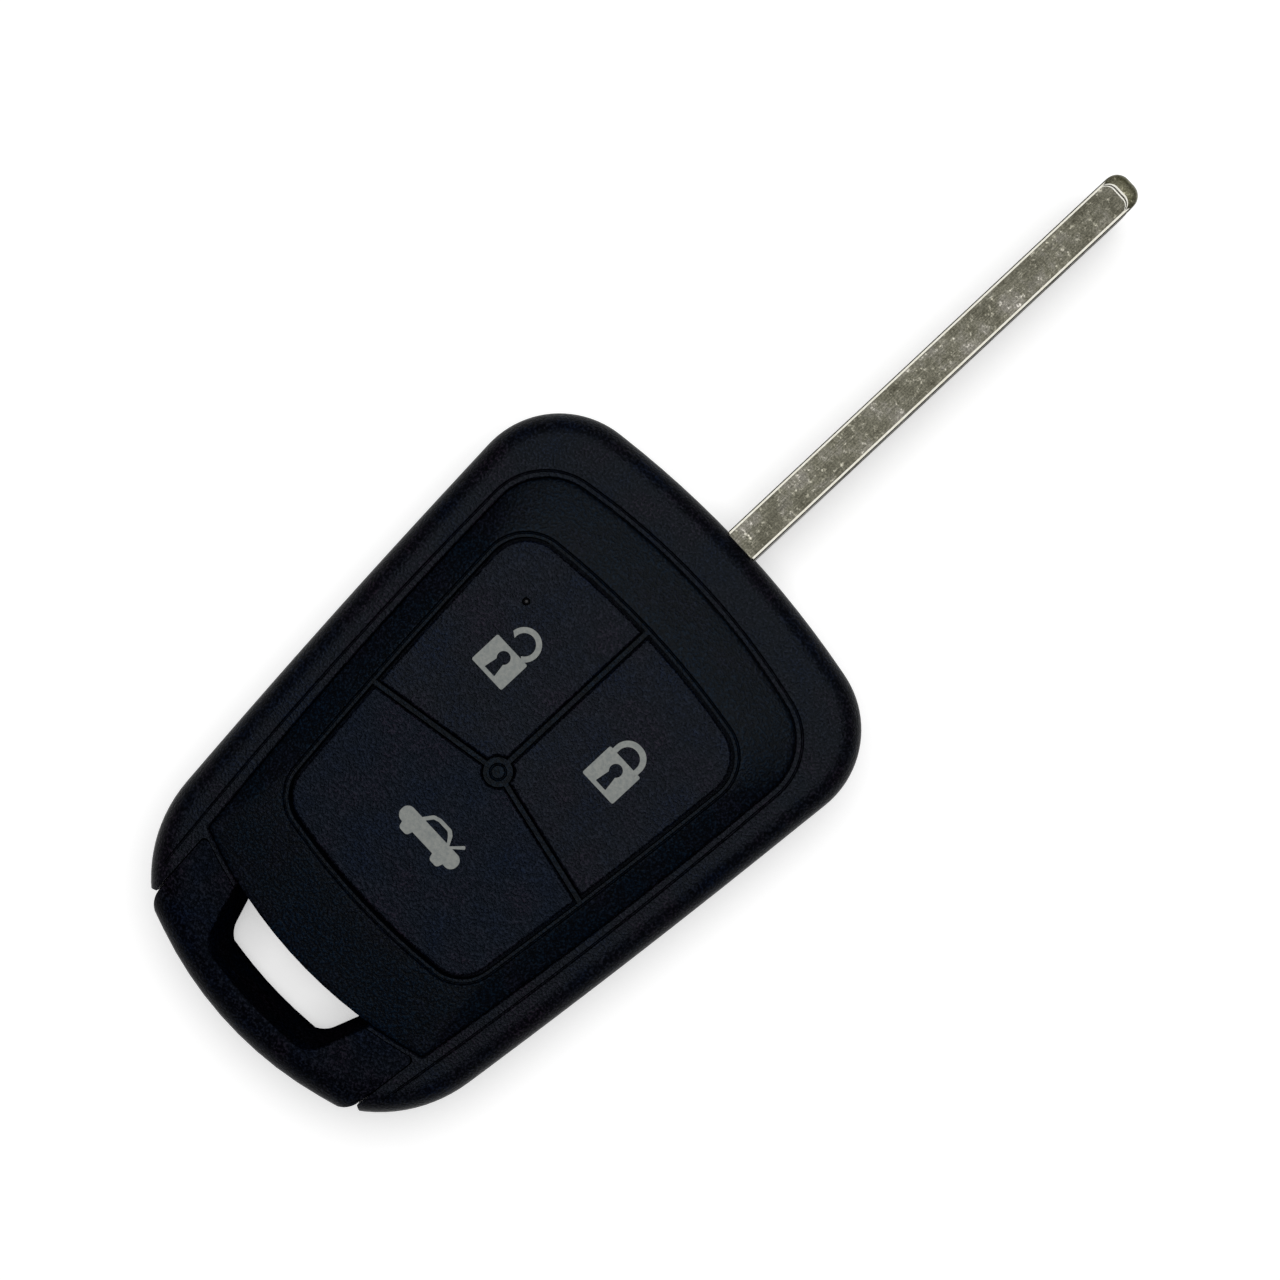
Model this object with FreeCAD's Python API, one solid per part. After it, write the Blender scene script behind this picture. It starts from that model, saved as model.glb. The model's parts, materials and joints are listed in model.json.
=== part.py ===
import FreeCAD, Part
import math
import os

# A remote car key with a fixed blade, in millimetres. The origin lies on the flat back, right under
# the hub of the button web. +Y runs towards the blade tip and +Z comes out of the button face.

V = FreeCAD.Vector
ALONG_X = V(1, 0, 0)
ALONG_Z = V(0, 0, 1)

# Case: plan
HUB_TO_FRONT = 26.85        # hub to the edge that the blade comes out of
HUB_TO_PANEL_HEEL = 22.13   # hub to the edge of the face panel beside the keyring slot
HALF_WIDTH = 18.36          # case half width at the hub
FLANK_TAPER = 0.0915        # half width lost per millimetre towards the keyring end
FLANK_BOW = 0.49            # how far the flank's middle point stands off the straight
FRONT_CROWN = 84.3
FRONT_CORNER = 7.9
HEEL_CROWN = 60.0
HEEL_CORNER = 12.1
HEEL_LENGTH = 8.03          # panel heel to the end that the legs aim at

# Case: levels and walls
PARTING_Z = 6.0
RIM_Z = 12.2
REAR_WALL = 1.3
SIDE_WALL = 1.6
HEEL_WALL = 1.15
FRONT_ROUND = 2.1
BACK_ROUND = 2.7
ROUND_STEPS = 3             # strips that make up a rounded edge
SEAM_CHAMFER = 0.15
TONGUE_THICKNESS = 0.6
TONGUE_HEIGHT = 1.0
FIT = 0.06                  # clearance between moulded pieces that seat in each other

# Face panel
RIM_FRONT = 5.0             # rim between the front edge and the panel
RIM_SIDE = 3.88
PANEL_BOW = 0.744
PANEL_FRONT_CROWN = 59.0
PANEL_FRONT_CORNER = 5.17
PANEL_HEEL_CROWN = 39.4
PANEL_HEEL_CORNER = 0.3
PANEL_EDGE_DROP = 0.1       # panel edge below the rim
PANEL_RISE = 0.9            # crown of the panel, edge to plateau
PANEL_EDGE_HEIGHT = 1.2     # straight edge of the panel, above its ledge
CROWN_SHARES = (0, 0.3, 0.65, 1)  # steps of the crown, from the edge to the lip
CROWN_HEEL_CORNER = 1.5     # heel corner at the foot of the crown
LEDGE_WIDTH = 0.9
LEDGE_THICKNESS = 1.0
LINE_WIDTH = 0.12           # gap round the panel and the loop that shows as a dark line
LEG_TIP_Y = 26.75           # hub to the tips of the two legs
LEG_TIP_SLOPE = 35.0

# Button window
BAND_FRONT = 5.45           # panel between its front edge and the window
BAND_HEEL = 7.03
BAND_SIDE = 2.39
WINDOW_BOW = 0.344
WINDOW_FRONT_CROWN = 72.0
WINDOW_FRONT_CORNER = 3.7
WINDOW_HEEL_CROWN = 57.0
WINDOW_HEEL_CORNER = 3.35
WINDOW_LIP = 0.67           # flat strip round the window, at the top of the crown
SPOKE_WIDTH = 0.37
SPOKE_DIP = 10.8            # side spokes fall this many degrees below square
HUB_RADIUS = 1.2
WEB_DROP = 0.08             # web below the plateau

# Buttons
BUTTON_GAP = 0.3            # window to button
SPOKE_GAP = 0.13            # web to button
BUTTON_DROP = 0.12          # button face below the plateau
BUTTON_EDGE = 0.18
FLANGE_WIDTH = 0.5          # retaining flange under the panel, beyond the window
FLANGE_THICKNESS = 0.7
FLANGE_GAP = 0.1
FLANGE_PARTING = 0.15       # flange to the middle of a spoke
STEM_SIZE = 2.4
TRAVEL = 0.3
SWITCH_ACROSS = 6.4         # unlock and lock switches to each side of the middle
SWITCH_ALONG = 7.0
BOOT_SWITCH_Y = -8.2

# Keyring loop
CROSSBAR = 0.52             # rim strip between the panel and the loop
LOOP_SIDE = 4.05            # leg between the flank and the loop
LOOP_LENGTH = 8.24          # panel heel to the end of the loop
LOOP_CROWN = 31.5
LOOP_CORNER = 2.4
LOOP_NECK_CORNER = 0.4
LOOP_END_CORNER = 3.6       # corner of the rounding that only the free end has
LOOP_DROP = 0.1
LOOP_ROUND = 1.3
SLOT_HALF_WIDTH = 7.85
SLOT_FLANK = 19.3           # lean of the slot's sides
SLOT_LENGTH = 5.1
SLOT_CROWN = 38.0
SLOT_CORNER = 2.3
SLOT_NECK_CORNER = 0.1
SLOT_TOP_SHARE = 0.9        # share of the slot's near end that its arc takes
SLOT_DRAFT = 0.25
SLOT_FLARE = 1.0
SLOT_BORE_Z = 4.4           # narrow part of the slot starts here
SLOT_BORE_HEIGHT = 3.4
LUG_ACROSS = 10.2
LUG_WIDTH = 3.2
LUG_LENGTH = 5.0
LUG_Z = 2.6
LUG_PEG_SIZE = (1.8, 1.4)
LUG_PEG_HEIGHT = 2.0        # peg inside the lug

# Blade
BLADE_THICKNESS = 3.12
BLADE_HEIGHT = 8.6
BLADE_Z = 2.3
BLADE_REACH = 43.65         # front edge of the case to the blade tip
BLADE_BEVEL = 0.3
TIP_ROUND = 1.8             # tip corners seen from the flat side
TIP_PLAN_ROUND = 1.2        # tip corners seen from the button side
TANG_LENGTH = 7.0
TANG_HEIGHT = 6.4
TRACK_WIDTH = 2.2
TRACK_DEPTH = 0.7
TRACK_START = 7.0           # front edge of the case to the first cut
TRACK_PITCH = 7.6
TRACK_CUTS = (0.9, -0.6, -0.9, 0.7)  # each cut's stand-off from the middle
TRACK_CUT_RADIUS = 1.4
CARRIER_WIDTH = 13.0
CARRIER_LENGTH = 7.8
CARRIER_WALL = 1.4
CARRIER_CORNER = 0.6
PIN_RADIUS = 1.0
PIN_GAP = 0.02
PIN_INSET = 3.8             # inner end of the tang to the pin
PIN_SUNK = 0.2              # pin ends inside the walls that hold them

# Inside
BOARD_Z = 6.2
BOARD_THICKNESS = 0.8
BOARD_GAP = 0.5
BOARD_FRONT = 17.0
BOARD_HEEL = -17.2
BOARD_CORNER = 1.5
SWITCH_SIZE = 4.5
SWITCH_HEIGHT = 1.6
SWITCH_CORNER = 0.5
PLUNGER_SIZE = 2.1
PLUNGER_CORNER = 0.5
PLUNGER_PROUD = 0.35
PLUNGER_FLOOR = 0.3
PLUNGER_GAP = 0.1
MAT_THICKNESS = 0.7
MAT_RIM = 1.2
MAT_HOLE_GAP = 0.3
CELL_RADIUS = 10.0
CELL_HEIGHT = 3.2
CELL_CAP_RADIUS = 8.8
CELL_CAP_HEIGHT = 0.4
CONTACT_LEAF = 0.2
CONTACT_WIDTH = 4.0
CONTACT_RUNS = (1.8, 4.6, 7.0)  # ends of the pad, the slope and the foot, out from the middle
CELL_Y = -8.0
CELL_GAP = 0.25
NEST_WALL = 0.95
NEST_HEIGHT = 2.5          # ribs on the rear cover that centre the cell
NEST_LENGTH = 5.0
NEST_ANGLES = (45, 135, 225, 315)
CONTACT_HEIGHT = 0.75
STRAP = 0.3
STRAP_WIDTH = 5.0
STRAP_GAP = 0.05
STRAP_FOOT = 1.5
POST_WIDTH = 2.6            # inner side wall to the inner side of a post
POST_LENGTH = 3.0
POST_GAP = 0.1
KEY_DEPTH = 1.5             # inner side wall to the bottom of the board's notch
KEY_LENGTH = 1.6
KEY_GAP = 0.1
POST_FRONT_Y = 9.5
POST_HEEL_Y = -11.5
LED_X = -8.47
LED_Y = 11.0
LED_SIZE = (1.6, 0.8)
LED_HEIGHT = 0.7
PIPE_RADIUS = 0.24
PIPE_HOLE_RADIUS = 0.34
PIPE_FOOT_SIZE = 1.4
PIPE_FOOT_HEIGHT = 0.7
PIPE_DROP = 0.12            # tip of the light pipe below the button face
CHIP_SIZE = (5.0, 4.0)
CHIP_HEIGHT = 1.0
CHIP_Y = 3.6
CHIP_BEVEL = 0.2
CHIP_STAND = 0.1
CHIP_LEADS = 6
CHIP_LEAD_PITCH = 0.75
CHIP_LEAD_WIDTH = 0.24
CHIP_LEAD_REACH = 1.1       # lead beyond the chip's side
CHIP_LEAD_HEIGHT = 0.25
CRYSTAL_SIZE = (3.2, 2.5)
CRYSTAL_HEIGHT = 0.8
CRYSTAL_PLACE = (8.0, -2.1)
CRYSTAL_BEVEL = 0.2
CAPACITOR_SIZE = (1.0, 0.6)
CAPACITOR_HEIGHT = 0.5
CAPACITOR_PLACES = ((-9.5, -2.0), (-7.5, -2.0), (-5.5, -2.0), (3.6, -3.0), (4.9, -14.0),
                    (-4.9, -14.0), (12.0, 2.0), (-12.0, 2.0))
COIL_LENGTH = 11.0
COIL_WIDTH = 3.2
COIL_HEIGHT = 3.0
COIL_Y = 9.0
COIL_CHEEK = 1.0
COIL_STEP = 0.3             # winding below its cheeks
COIL_BEVEL = 0.4

# Places worked out from the sizes above
panel_front = HUB_TO_FRONT - RIM_FRONT
panel_heel = -HUB_TO_PANEL_HEEL
window_front = panel_front - BAND_FRONT
window_heel = panel_heel + BAND_HEEL
window_inset = RIM_SIDE + BAND_SIDE
cavity_front = HUB_TO_FRONT - SIDE_WALL
cavity_heel = panel_heel + HEEL_WALL
panel_edge_z = RIM_Z - PANEL_EDGE_DROP
plateau_z = panel_edge_z + PANEL_RISE
ledge_z = panel_edge_z - PANEL_EDGE_HEIGHT
ledge_under_z = ledge_z - LEDGE_THICKNESS
board_top = BOARD_Z + BOARD_THICKNESS
switch_top = board_top + SWITCH_HEIGHT
plunger_top = switch_top + PLUNGER_PROUD
flange_top = ledge_z - FLANGE_GAP
flange_under = flange_top - FLANGE_THICKNESS
button_z = plateau_z - BUTTON_DROP
cell_z = BOARD_Z - CONTACT_HEIGHT - CELL_HEIGHT
tang_z = BLADE_Z + (BLADE_HEIGHT - TANG_HEIGHT) / 2
blade_middle_z = BLADE_Z + BLADE_HEIGHT / 2
tang_end = cavity_front - TANG_LENGTH
tang_slot_half = BLADE_THICKNESS / 2 + FIT / 2
carrier_end = cavity_front - FIT - CARRIER_LENGTH
blade_tip = HUB_TO_FRONT + BLADE_REACH
loop_front_z = RIM_Z - LOOP_DROP
spoke_angles = (90.0, 180.0 + SPOKE_DIP, 360.0 - SPOKE_DIP)
switch_places = {
    "unlock": (-SWITCH_ACROSS, SWITCH_ALONG),
    "lock": (SWITCH_ACROSS, SWITCH_ALONG),
    "boot": (0.0, BOOT_SWITCH_Y),
}
button_sectors = {
    "unlock": (spoke_angles[0], spoke_angles[1]),
    "lock": (spoke_angles[2] - 360.0, spoke_angles[0]),
    "boot": (spoke_angles[1], spoke_angles[2]),
}


# Outlines

def flank(y, inset):
    """Half width of the case at y, less an inset."""
    return HALF_WIDTH + FLANK_TAPER * y - inset


def crown(apex, radius, reach, outward):
    """Peak point and slope of the two tangent lines that hold an arc with its apex at y."""
    slope = math.asin(reach / radius)
    peak = apex + outward * radius * (1 / math.cos(slope) - 1)
    return peak, math.tan(slope)


def mirrored(half):
    """Full outline from its right half, whose first and last points lie on the middle line."""
    return half + [(-x, y, radius) for x, y, radius in reversed(half[1:-1])]


def case_line(front, heel, inset, bow, crowns, corners):
    """Outline with crowned ends and bowed flanks that follow the taper of the case."""
    front_peak, front_slope = crown(front, crowns[0], flank(front, inset) - corners[0], 1)
    heel_peak, heel_slope = crown(heel, crowns[1], flank(heel, inset) - corners[1], -1)
    front_x = flank(front_peak, inset) / (1 + FLANK_TAPER * front_slope)
    front_y = front_peak - front_x * front_slope
    heel_x = flank(heel_peak, inset) / (1 - FLANK_TAPER * heel_slope)
    heel_y = heel_peak + heel_x * heel_slope
    middle_x = (front_x + heel_x) / 2 + bow
    middle_y = (front_y + heel_y) / 2
    half_flank = (front_y - heel_y) / 2
    free_flank = 0.95 * (half_flank - max(corners))
    flank_radius = free_flank * half_flank / (2 * bow)
    return mirrored([
        (0, front_peak, crowns[0]),
        (front_x, front_y, corners[0]),
        (middle_x, middle_y, 2 * flank_radius),
        (heel_x, heel_y, corners[1]),
        (0, heel_peak, crowns[1]),
    ])


def blended(first, second, share):
    """Outline part of the way from one to another with as many points."""
    mixed = []
    for a, b in zip(first, second):
        mixed.append(tuple(p + (q - p) * share for p, q in zip(a, b)))
    return mixed


def rounded_wire(points, z):
    """Closed wire of straight runs and tangent arcs at the corner points (x, y, radius)."""
    spots = [V(x, y, z) for x, y, radius in points]
    arcs = []
    for number, spot in enumerate(spots):
        back = spots[number - 1] - spot
        ahead = spots[(number + 1) % len(spots)] - spot
        back.normalize()
        ahead.normalize()
        half_angle = back.getAngle(ahead) / 2
        radius = points[number][2]
        reach = radius / math.tan(half_angle)
        inward = back + ahead
        inward.normalize()
        middle = spot + inward * radius * (1 / math.sin(half_angle) - 1)
        arcs.append((spot + back * reach, middle, spot + ahead * reach))
    edges = []
    for number, arc in enumerate(arcs):
        edges.append(Part.LineSegment(arcs[number - 1][2], arc[0]).toShape())
        edges.append(Part.Arc(*arc).toShape())
    return Part.Wire(edges)


def prism(points, low, high):
    """Upright solid of an outline between two heights."""
    return Part.Face(rounded_wire(points, low)).extrude(V(0, 0, high - low))


def polygon_prism(corners, low, high):
    """Upright solid of a sharp cornered outline between two heights."""
    closed = [V(x, y, low) for x, y in corners]
    wire = Part.makePolygon(closed + closed[:1])
    return Part.Face(wire).extrude(V(0, 0, high - low))


def block(x, y, z):
    """Box from three (low, high) pairs."""
    size = (x[1] - x[0], y[1] - y[0], z[1] - z[0])
    return Part.makeBox(*size, V(x[0], y[0], z[0]))


def centred_block(middle, size, low, high):
    """Box over a middle point (x, y) with its size along X and Y, between two heights."""
    x, y = middle
    half_x = size[0] / 2
    half_y = size[1] / 2
    return block((x - half_x, x + half_x), (y - half_y, y + half_y), (low, high))


def rod(x, y, low, high, radius):
    """Upright cylinder."""
    return Part.makeCylinder(radius, high - low, V(x, y, low), ALONG_Z)


def stacked(outline, levels):
    """Solid through an outline's (inset, height) levels."""
    wires = [rounded_wire(outline(inset), z) for inset, z in levels]
    return Part.makeLoft(wires, True, True)


def rounded_top(radius, z):
    """Levels that round an outline's upper edge, from its side up to its face at z."""
    levels = []
    for step in range(ROUND_STEPS + 1):
        angle = math.pi / 2 * step / ROUND_STEPS
        levels.append((radius * (1 - math.cos(angle)), z - radius * (1 - math.sin(angle))))
    return levels


def rounded_bottom(radius, z):
    """Levels that round an outline's lower edge, from its face at z up to its side."""
    return [(inset, 2 * z - height) for inset, height in reversed(rounded_top(radius, z))]


def edges_at(shape, z):
    """Edges that lie flat at one height."""
    flat = []
    for edge in shape.Edges:
        if abs(edge.BoundBox.ZMin - z) < 1e-4 and abs(edge.BoundBox.ZMax - z) < 1e-4:
            flat.append(edge)
    return flat


def case_outline(inset):
    return case_line(
        HUB_TO_FRONT - inset, panel_heel - HEEL_LENGTH + inset, inset, FLANK_BOW,
        (FRONT_CROWN - inset, HEEL_CROWN), (FRONT_CORNER - inset, HEEL_CORNER - inset),
    )


def cavity_outline(grow):
    return case_line(
        cavity_front + grow, cavity_heel - grow, SIDE_WALL - grow, FLANK_BOW,
        (FRONT_CROWN - SIDE_WALL, PANEL_HEEL_CROWN), (FRONT_CORNER - SIDE_WALL, HEEL_WALL * 2),
    )


def panel_outline(grow, heel_corner=PANEL_HEEL_CORNER):
    return case_line(
        panel_front + grow, panel_heel - grow, RIM_SIDE - grow, PANEL_BOW,
        (PANEL_FRONT_CROWN + grow, PANEL_HEEL_CROWN + grow),
        (PANEL_FRONT_CORNER + grow, heel_corner),
    )


def window_outline(grow):
    return case_line(
        window_front + grow, window_heel - grow, window_inset - grow, WINDOW_BOW,
        (WINDOW_FRONT_CROWN, WINDOW_HEEL_CROWN),
        (WINDOW_FRONT_CORNER + grow, WINDOW_HEEL_CORNER + grow),
    )


def loop_outline(grow):
    """Outline of the loop, whose near end nests under the crossbar."""
    top_crown = PANEL_HEEL_CROWN + CROSSBAR - grow
    top_apex = panel_heel - CROSSBAR + grow
    top_peak, top_slope = crown(top_apex, top_crown, flank(panel_heel, LOOP_SIDE), -1)
    side = LOOP_SIDE - grow
    end_y = panel_heel - LOOP_LENGTH
    end_peak, end_slope = crown(end_y, LOOP_CROWN, flank(end_y, side) - LOOP_CORNER, -1)
    top_x = flank(top_peak, side) / (1 - FLANK_TAPER * top_slope)
    end_x = flank(end_peak, side) / (1 - FLANK_TAPER * end_slope)
    return mirrored([
        (0, top_peak, top_crown),
        (top_x, top_peak + top_x * top_slope, LOOP_NECK_CORNER),
        (end_x, end_peak + end_x * end_slope, LOOP_CORNER),
        (0, end_peak, LOOP_CROWN),
    ])


def loop_end_outline(inset):
    """The loop's crowned end, with sides that open out before they reach the legs."""
    corner_x = flank(panel_heel - SLOT_LENGTH, LOOP_SIDE + inset)
    end_y = panel_heel - LOOP_LENGTH + inset
    end_peak, end_slope = crown(end_y, LOOP_CROWN, corner_x - LOOP_CORNER, -1)
    corner_y = end_peak + corner_x * end_slope
    spread = HALF_WIDTH
    return [
        (corner_x + spread, corner_y + spread, LOOP_CORNER),
        (corner_x, corner_y, LOOP_END_CORNER),
        (0, end_peak, LOOP_CROWN),
        (-corner_x, corner_y, LOOP_END_CORNER),
        (-corner_x - spread, corner_y + spread, LOOP_CORNER),
    ]


def slot_outline(shrink):
    """Outline of the keyring slot, less a shrink on its two sides and its end."""
    top_x = SLOT_HALF_WIDTH - shrink
    top_peak, top_slope = crown(panel_heel, PANEL_HEEL_CROWN, top_x * SLOT_TOP_SHARE, -1)
    end_y = panel_heel - SLOT_LENGTH + shrink
    end_half = top_x - SLOT_LENGTH * math.tan(math.radians(SLOT_FLANK))
    end_peak, end_slope = crown(end_y, SLOT_CROWN, end_half - SLOT_CORNER, -1)
    return mirrored([
        (0, top_peak, PANEL_HEEL_CROWN),
        (top_x, top_peak + top_x * top_slope, SLOT_NECK_CORNER),
        (end_half, end_peak + end_half * end_slope, SLOT_CORNER),
        (0, end_peak, SLOT_CROWN),
    ])


# Shared cuts

def leg_tip_cut():
    """Everything below the two leg tips, whose ends slope in towards the loop."""
    tip_x = flank(-LEG_TIP_Y, LOOP_SIDE)
    far = tip_x + HALF_WIDTH
    fall = (far - tip_x) * math.tan(math.radians(LEG_TIP_SLOPE))
    low = -LEG_TIP_Y - fall - HALF_WIDTH
    corners = [
        (-tip_x, -LEG_TIP_Y), (tip_x, -LEG_TIP_Y), (far, -LEG_TIP_Y - fall),
        (far, low), (-far, low), (-far, -LEG_TIP_Y - fall),
    ]
    return polygon_prism(corners, -1, plateau_z + 1)


def loop_cut(shape):
    """Takes the room for the loop, the slot's near edge and the leg tips out of a case half."""
    shape = shape.cut(prism(loop_outline(LINE_WIDTH), -1, plateau_z + 1))
    shape = shape.cut(prism(slot_outline(0), -1, plateau_z + 1))
    return shape.cut(leg_tip_cut())


def blade_cut():
    """Mouth for the blade in the front wall of both case halves."""
    half = BLADE_THICKNESS / 2 + FIT
    along = (cavity_front - FIT, HUB_TO_FRONT + 1)
    return block((-half, half), along, (BLADE_Z - FIT, BLADE_Z + BLADE_HEIGHT + FIT))


# Case

def make_front_shell():
    seam = [(SEAM_CHAMFER, PARTING_Z), (0, PARTING_Z + SEAM_CHAMFER)]
    shell = stacked(case_outline, seam + rounded_top(FRONT_ROUND, RIM_Z))
    shell = shell.cut(prism(cavity_outline(0), PARTING_Z - 1, ledge_under_z))
    shell = shell.cut(prism(panel_outline(-LEDGE_WIDTH), ledge_under_z - 1, ledge_z + 1))
    shell = shell.cut(prism(panel_outline(LINE_WIDTH), ledge_z, RIM_Z + 1))
    tongue = prism(cavity_outline(TONGUE_THICKNESS), PARTING_Z - TONGUE_HEIGHT, PARTING_Z + FIT)
    tongue = tongue.cut(prism(cavity_outline(0), PARTING_Z - TONGUE_HEIGHT - 1, PARTING_Z + 1))
    for side in (-1, 1):
        tongue = tongue.cut(lug_block(side, FIT, PARTING_Z + FIT))
    shell = shell.fuse(tongue)
    shell = loop_cut(shell)
    return shell.cut(blade_cut()).removeSplitter()


def make_rear_cover():
    seam = [(0, PARTING_Z - SEAM_CHAMFER), (SEAM_CHAMFER, PARTING_Z)]
    cover = stacked(case_outline, rounded_bottom(BACK_ROUND, 0) + seam)
    cover = cover.cut(prism(cavity_outline(0), REAR_WALL, PARTING_Z + 1))
    rebate_z = PARTING_Z - TONGUE_HEIGHT - FIT
    cover = cover.cut(prism(cavity_outline(TONGUE_THICKNESS + FIT), rebate_z, PARTING_Z + 1))
    cover = loop_cut(cover)
    nest_radius = CELL_RADIUS + CELL_GAP
    for angle in NEST_ANGLES:
        rib = block((nest_radius, nest_radius + NEST_WALL), (-NEST_LENGTH / 2, NEST_LENGTH / 2),
                    (REAR_WALL - FIT, REAR_WALL + NEST_HEIGHT))
        rib.rotate(V(0, 0, 0), ALONG_Z, angle)
        rib.translate(V(0, CELL_Y, 0))
        cover = cover.fuse(rib)
    for side in (-1, 1):
        for y in (POST_FRONT_Y, POST_HEEL_Y):
            post = block(post_reach(side, y, POST_WIDTH, POST_GAP),
                         (y - POST_LENGTH / 2, y + POST_LENGTH / 2), (REAR_WALL - FIT, BOARD_Z))
            cover = cover.fuse(post)
        cover = cover.fuse(board_key(side, 0))
    for side in (-1, 1):
        cover = cover.cut(lug_block(side, FIT, PARTING_Z + 1))
        cover = cover.fuse(lug_peg(side, 0, LUG_Z + LUG_PEG_HEIGHT))
    return cover.cut(blade_cut()).removeSplitter()


def lug_span():
    """Low and high Y of the loop's lugs, from the loop's near end into the case."""
    near = panel_heel - CROSSBAR
    return near, near + LUG_LENGTH


def lug_peg(side, gap, top):
    """Peg of the rear cover that holds a lug, or the hole for it."""
    middle = (side * LUG_ACROSS, lug_span()[1] - LUG_WIDTH / 2)
    size = (LUG_PEG_SIZE[0] + 2 * gap, LUG_PEG_SIZE[1] + 2 * gap)
    return centred_block(middle, size, REAR_WALL - FIT, top)


def lug_block(side, gap, top):
    """One of the two lugs that tie the loop into the case, or the room for it."""
    half = LUG_WIDTH / 2 + gap
    middle = side * LUG_ACROSS
    low, high = lug_span()
    return block((middle - half, middle + half), (low - 1, high + gap), (LUG_Z - gap, top))


def make_keyring_loop():
    loop = prism(loop_outline(0), 0, loop_front_z)
    rounds = rounded_bottom(LOOP_ROUND, 0) + rounded_top(LOOP_ROUND, loop_front_z)
    loop = loop.common(stacked(loop_end_outline, rounds))
    bore_top = SLOT_BORE_Z + SLOT_BORE_HEIGHT
    front = Part.makeLoft([
        rounded_wire(slot_outline(SLOT_DRAFT), bore_top),
        rounded_wire(slot_outline(0), loop_front_z),
    ], True, True)
    back = Part.makeLoft([
        rounded_wire(slot_outline(-SLOT_FLARE), 0),
        rounded_wire(slot_outline(SLOT_DRAFT), SLOT_BORE_Z),
    ], True, True)
    bore = prism(slot_outline(SLOT_DRAFT), SLOT_BORE_Z, bore_top)
    loop = loop.cut(front).cut(bore).cut(back)
    for side in (-1, 1):
        lug = lug_block(side, 0, PARTING_Z - FIT)
        lug = lug.cut(lug_peg(side, FIT, PARTING_Z))
        loop = loop.fuse(lug)
    return loop.removeSplitter()


# Face panel and buttons

def spokes(half_width, low, high):
    """The three arms of the web, wide enough for a web or for the room round it."""
    arms = []
    for angle in spoke_angles:
        arm = block((0, HALF_WIDTH + HUB_TO_FRONT), (-half_width, half_width), (low, high))
        arm.rotate(V(0, 0, 0), ALONG_Z, angle)
        arms.append(arm)
    return arms[0].multiFuse(arms[1:])


def make_front_panel():
    foot = panel_outline(0, CROWN_HEEL_CORNER)
    lip = window_outline(WINDOW_LIP)
    levels = [(share, panel_edge_z + PANEL_RISE * (1 - (1 - share) ** 2)) for share in CROWN_SHARES]
    pillow = stacked(lambda share: blended(foot, lip, share), levels)
    panel = prism(panel_outline(0), ledge_z, panel_edge_z).fuse(pillow)
    panel = panel.cut(prism(window_outline(0), ledge_z - 1, plateau_z + 1))
    web_z = plateau_z - WEB_DROP
    web = spokes(SPOKE_WIDTH / 2, ledge_z, web_z)
    web = web.common(prism(window_outline(WINDOW_LIP / 2), ledge_z, web_z))
    web = web.fuse(rod(0, 0, ledge_z, web_z, HUB_RADIUS))
    return panel.fuse(web).removeSplitter()


def sector(points, name, spoke_half, hub_radius, low, high):
    """The share of an outline that belongs to one button."""
    start, end = button_sectors[name]
    corners = [(0, 0)]
    for share in (0, 1 / 3, 2 / 3, 1):
        angle = math.radians(start + (end - start) * share)
        corners.append((HUB_TO_FRONT * 3 * math.cos(angle), HUB_TO_FRONT * 3 * math.sin(angle)))
    shape = prism(points, low, high).common(polygon_prism(corners, low, high))
    shape = shape.cut(spokes(spoke_half, low - 1, high + 1))
    return shape.cut(rod(0, 0, low - 1, high + 1, hub_radius))


def make_button(name):
    spoke_half = SPOKE_WIDTH / 2 + SPOKE_GAP
    cap = sector(window_outline(-BUTTON_GAP), name, spoke_half, HUB_RADIUS + SPOKE_GAP,
                 flange_under, button_z)
    cap = cap.makeChamfer(BUTTON_EDGE, edges_at(cap, button_z))
    flange = sector(window_outline(FLANGE_WIDTH), name, FLANGE_PARTING, HUB_RADIUS,
                    flange_under, flange_top)
    x, y = switch_places[name]
    stem = centred_block((x, y), (STEM_SIZE, STEM_SIZE), plunger_top, flange_under + FIT)
    button = cap.fuse(flange).fuse(stem)
    if name == "unlock":
        button = button.cut(rod(LED_X, LED_Y, 0, plateau_z, PIPE_HOLE_RADIUS))
    return button.removeSplitter()


# Electronics

def cut_cornered(middle, size, corner, low, high):
    """Square block with cut upright edges over a middle point."""
    post = centred_block(middle, (size, size), low, high)
    upright = [edge for edge in post.Edges if edge.BoundBox.ZLength > (high - low) / 2]
    return post.makeChamfer(corner, upright)


def make_switch(name):
    place = switch_places[name]
    housing = cut_cornered(place, SWITCH_SIZE, SWITCH_CORNER, board_top, switch_top)
    bore = PLUNGER_SIZE + 2 * PLUNGER_GAP
    floor = board_top + PLUNGER_FLOOR
    return housing.cut(cut_cornered(place, bore, PLUNGER_CORNER, floor, switch_top + PLUNGER_GAP))


def make_plunger(name):
    low = board_top + PLUNGER_FLOOR + TRAVEL + PLUNGER_GAP
    return cut_cornered(switch_places[name], PLUNGER_SIZE, PLUNGER_CORNER, low, plunger_top)


def board_outline(front, shrink):
    """Cut cornered outline that the circuit board and the mat share, less a shrink."""
    inset = SIDE_WALL + BOARD_GAP + shrink
    heel = BOARD_HEEL + shrink
    half = [
        (flank(front, inset) - BOARD_CORNER, front),
        (flank(front - BOARD_CORNER, inset), front - BOARD_CORNER),
        (flank(heel + BOARD_CORNER, inset), heel + BOARD_CORNER),
        (flank(heel, inset) - BOARD_CORNER, heel),
    ]
    return half + [(-x, y) for x, y in reversed(half)]


def post_reach(side, y, inner, outer):
    """X span beside a side wall at y, from its distances to the wall."""
    wall = flank(y - POST_LENGTH / 2, SIDE_WALL)
    return tuple(sorted((side * (wall - inner), side * (wall - outer))))


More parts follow.
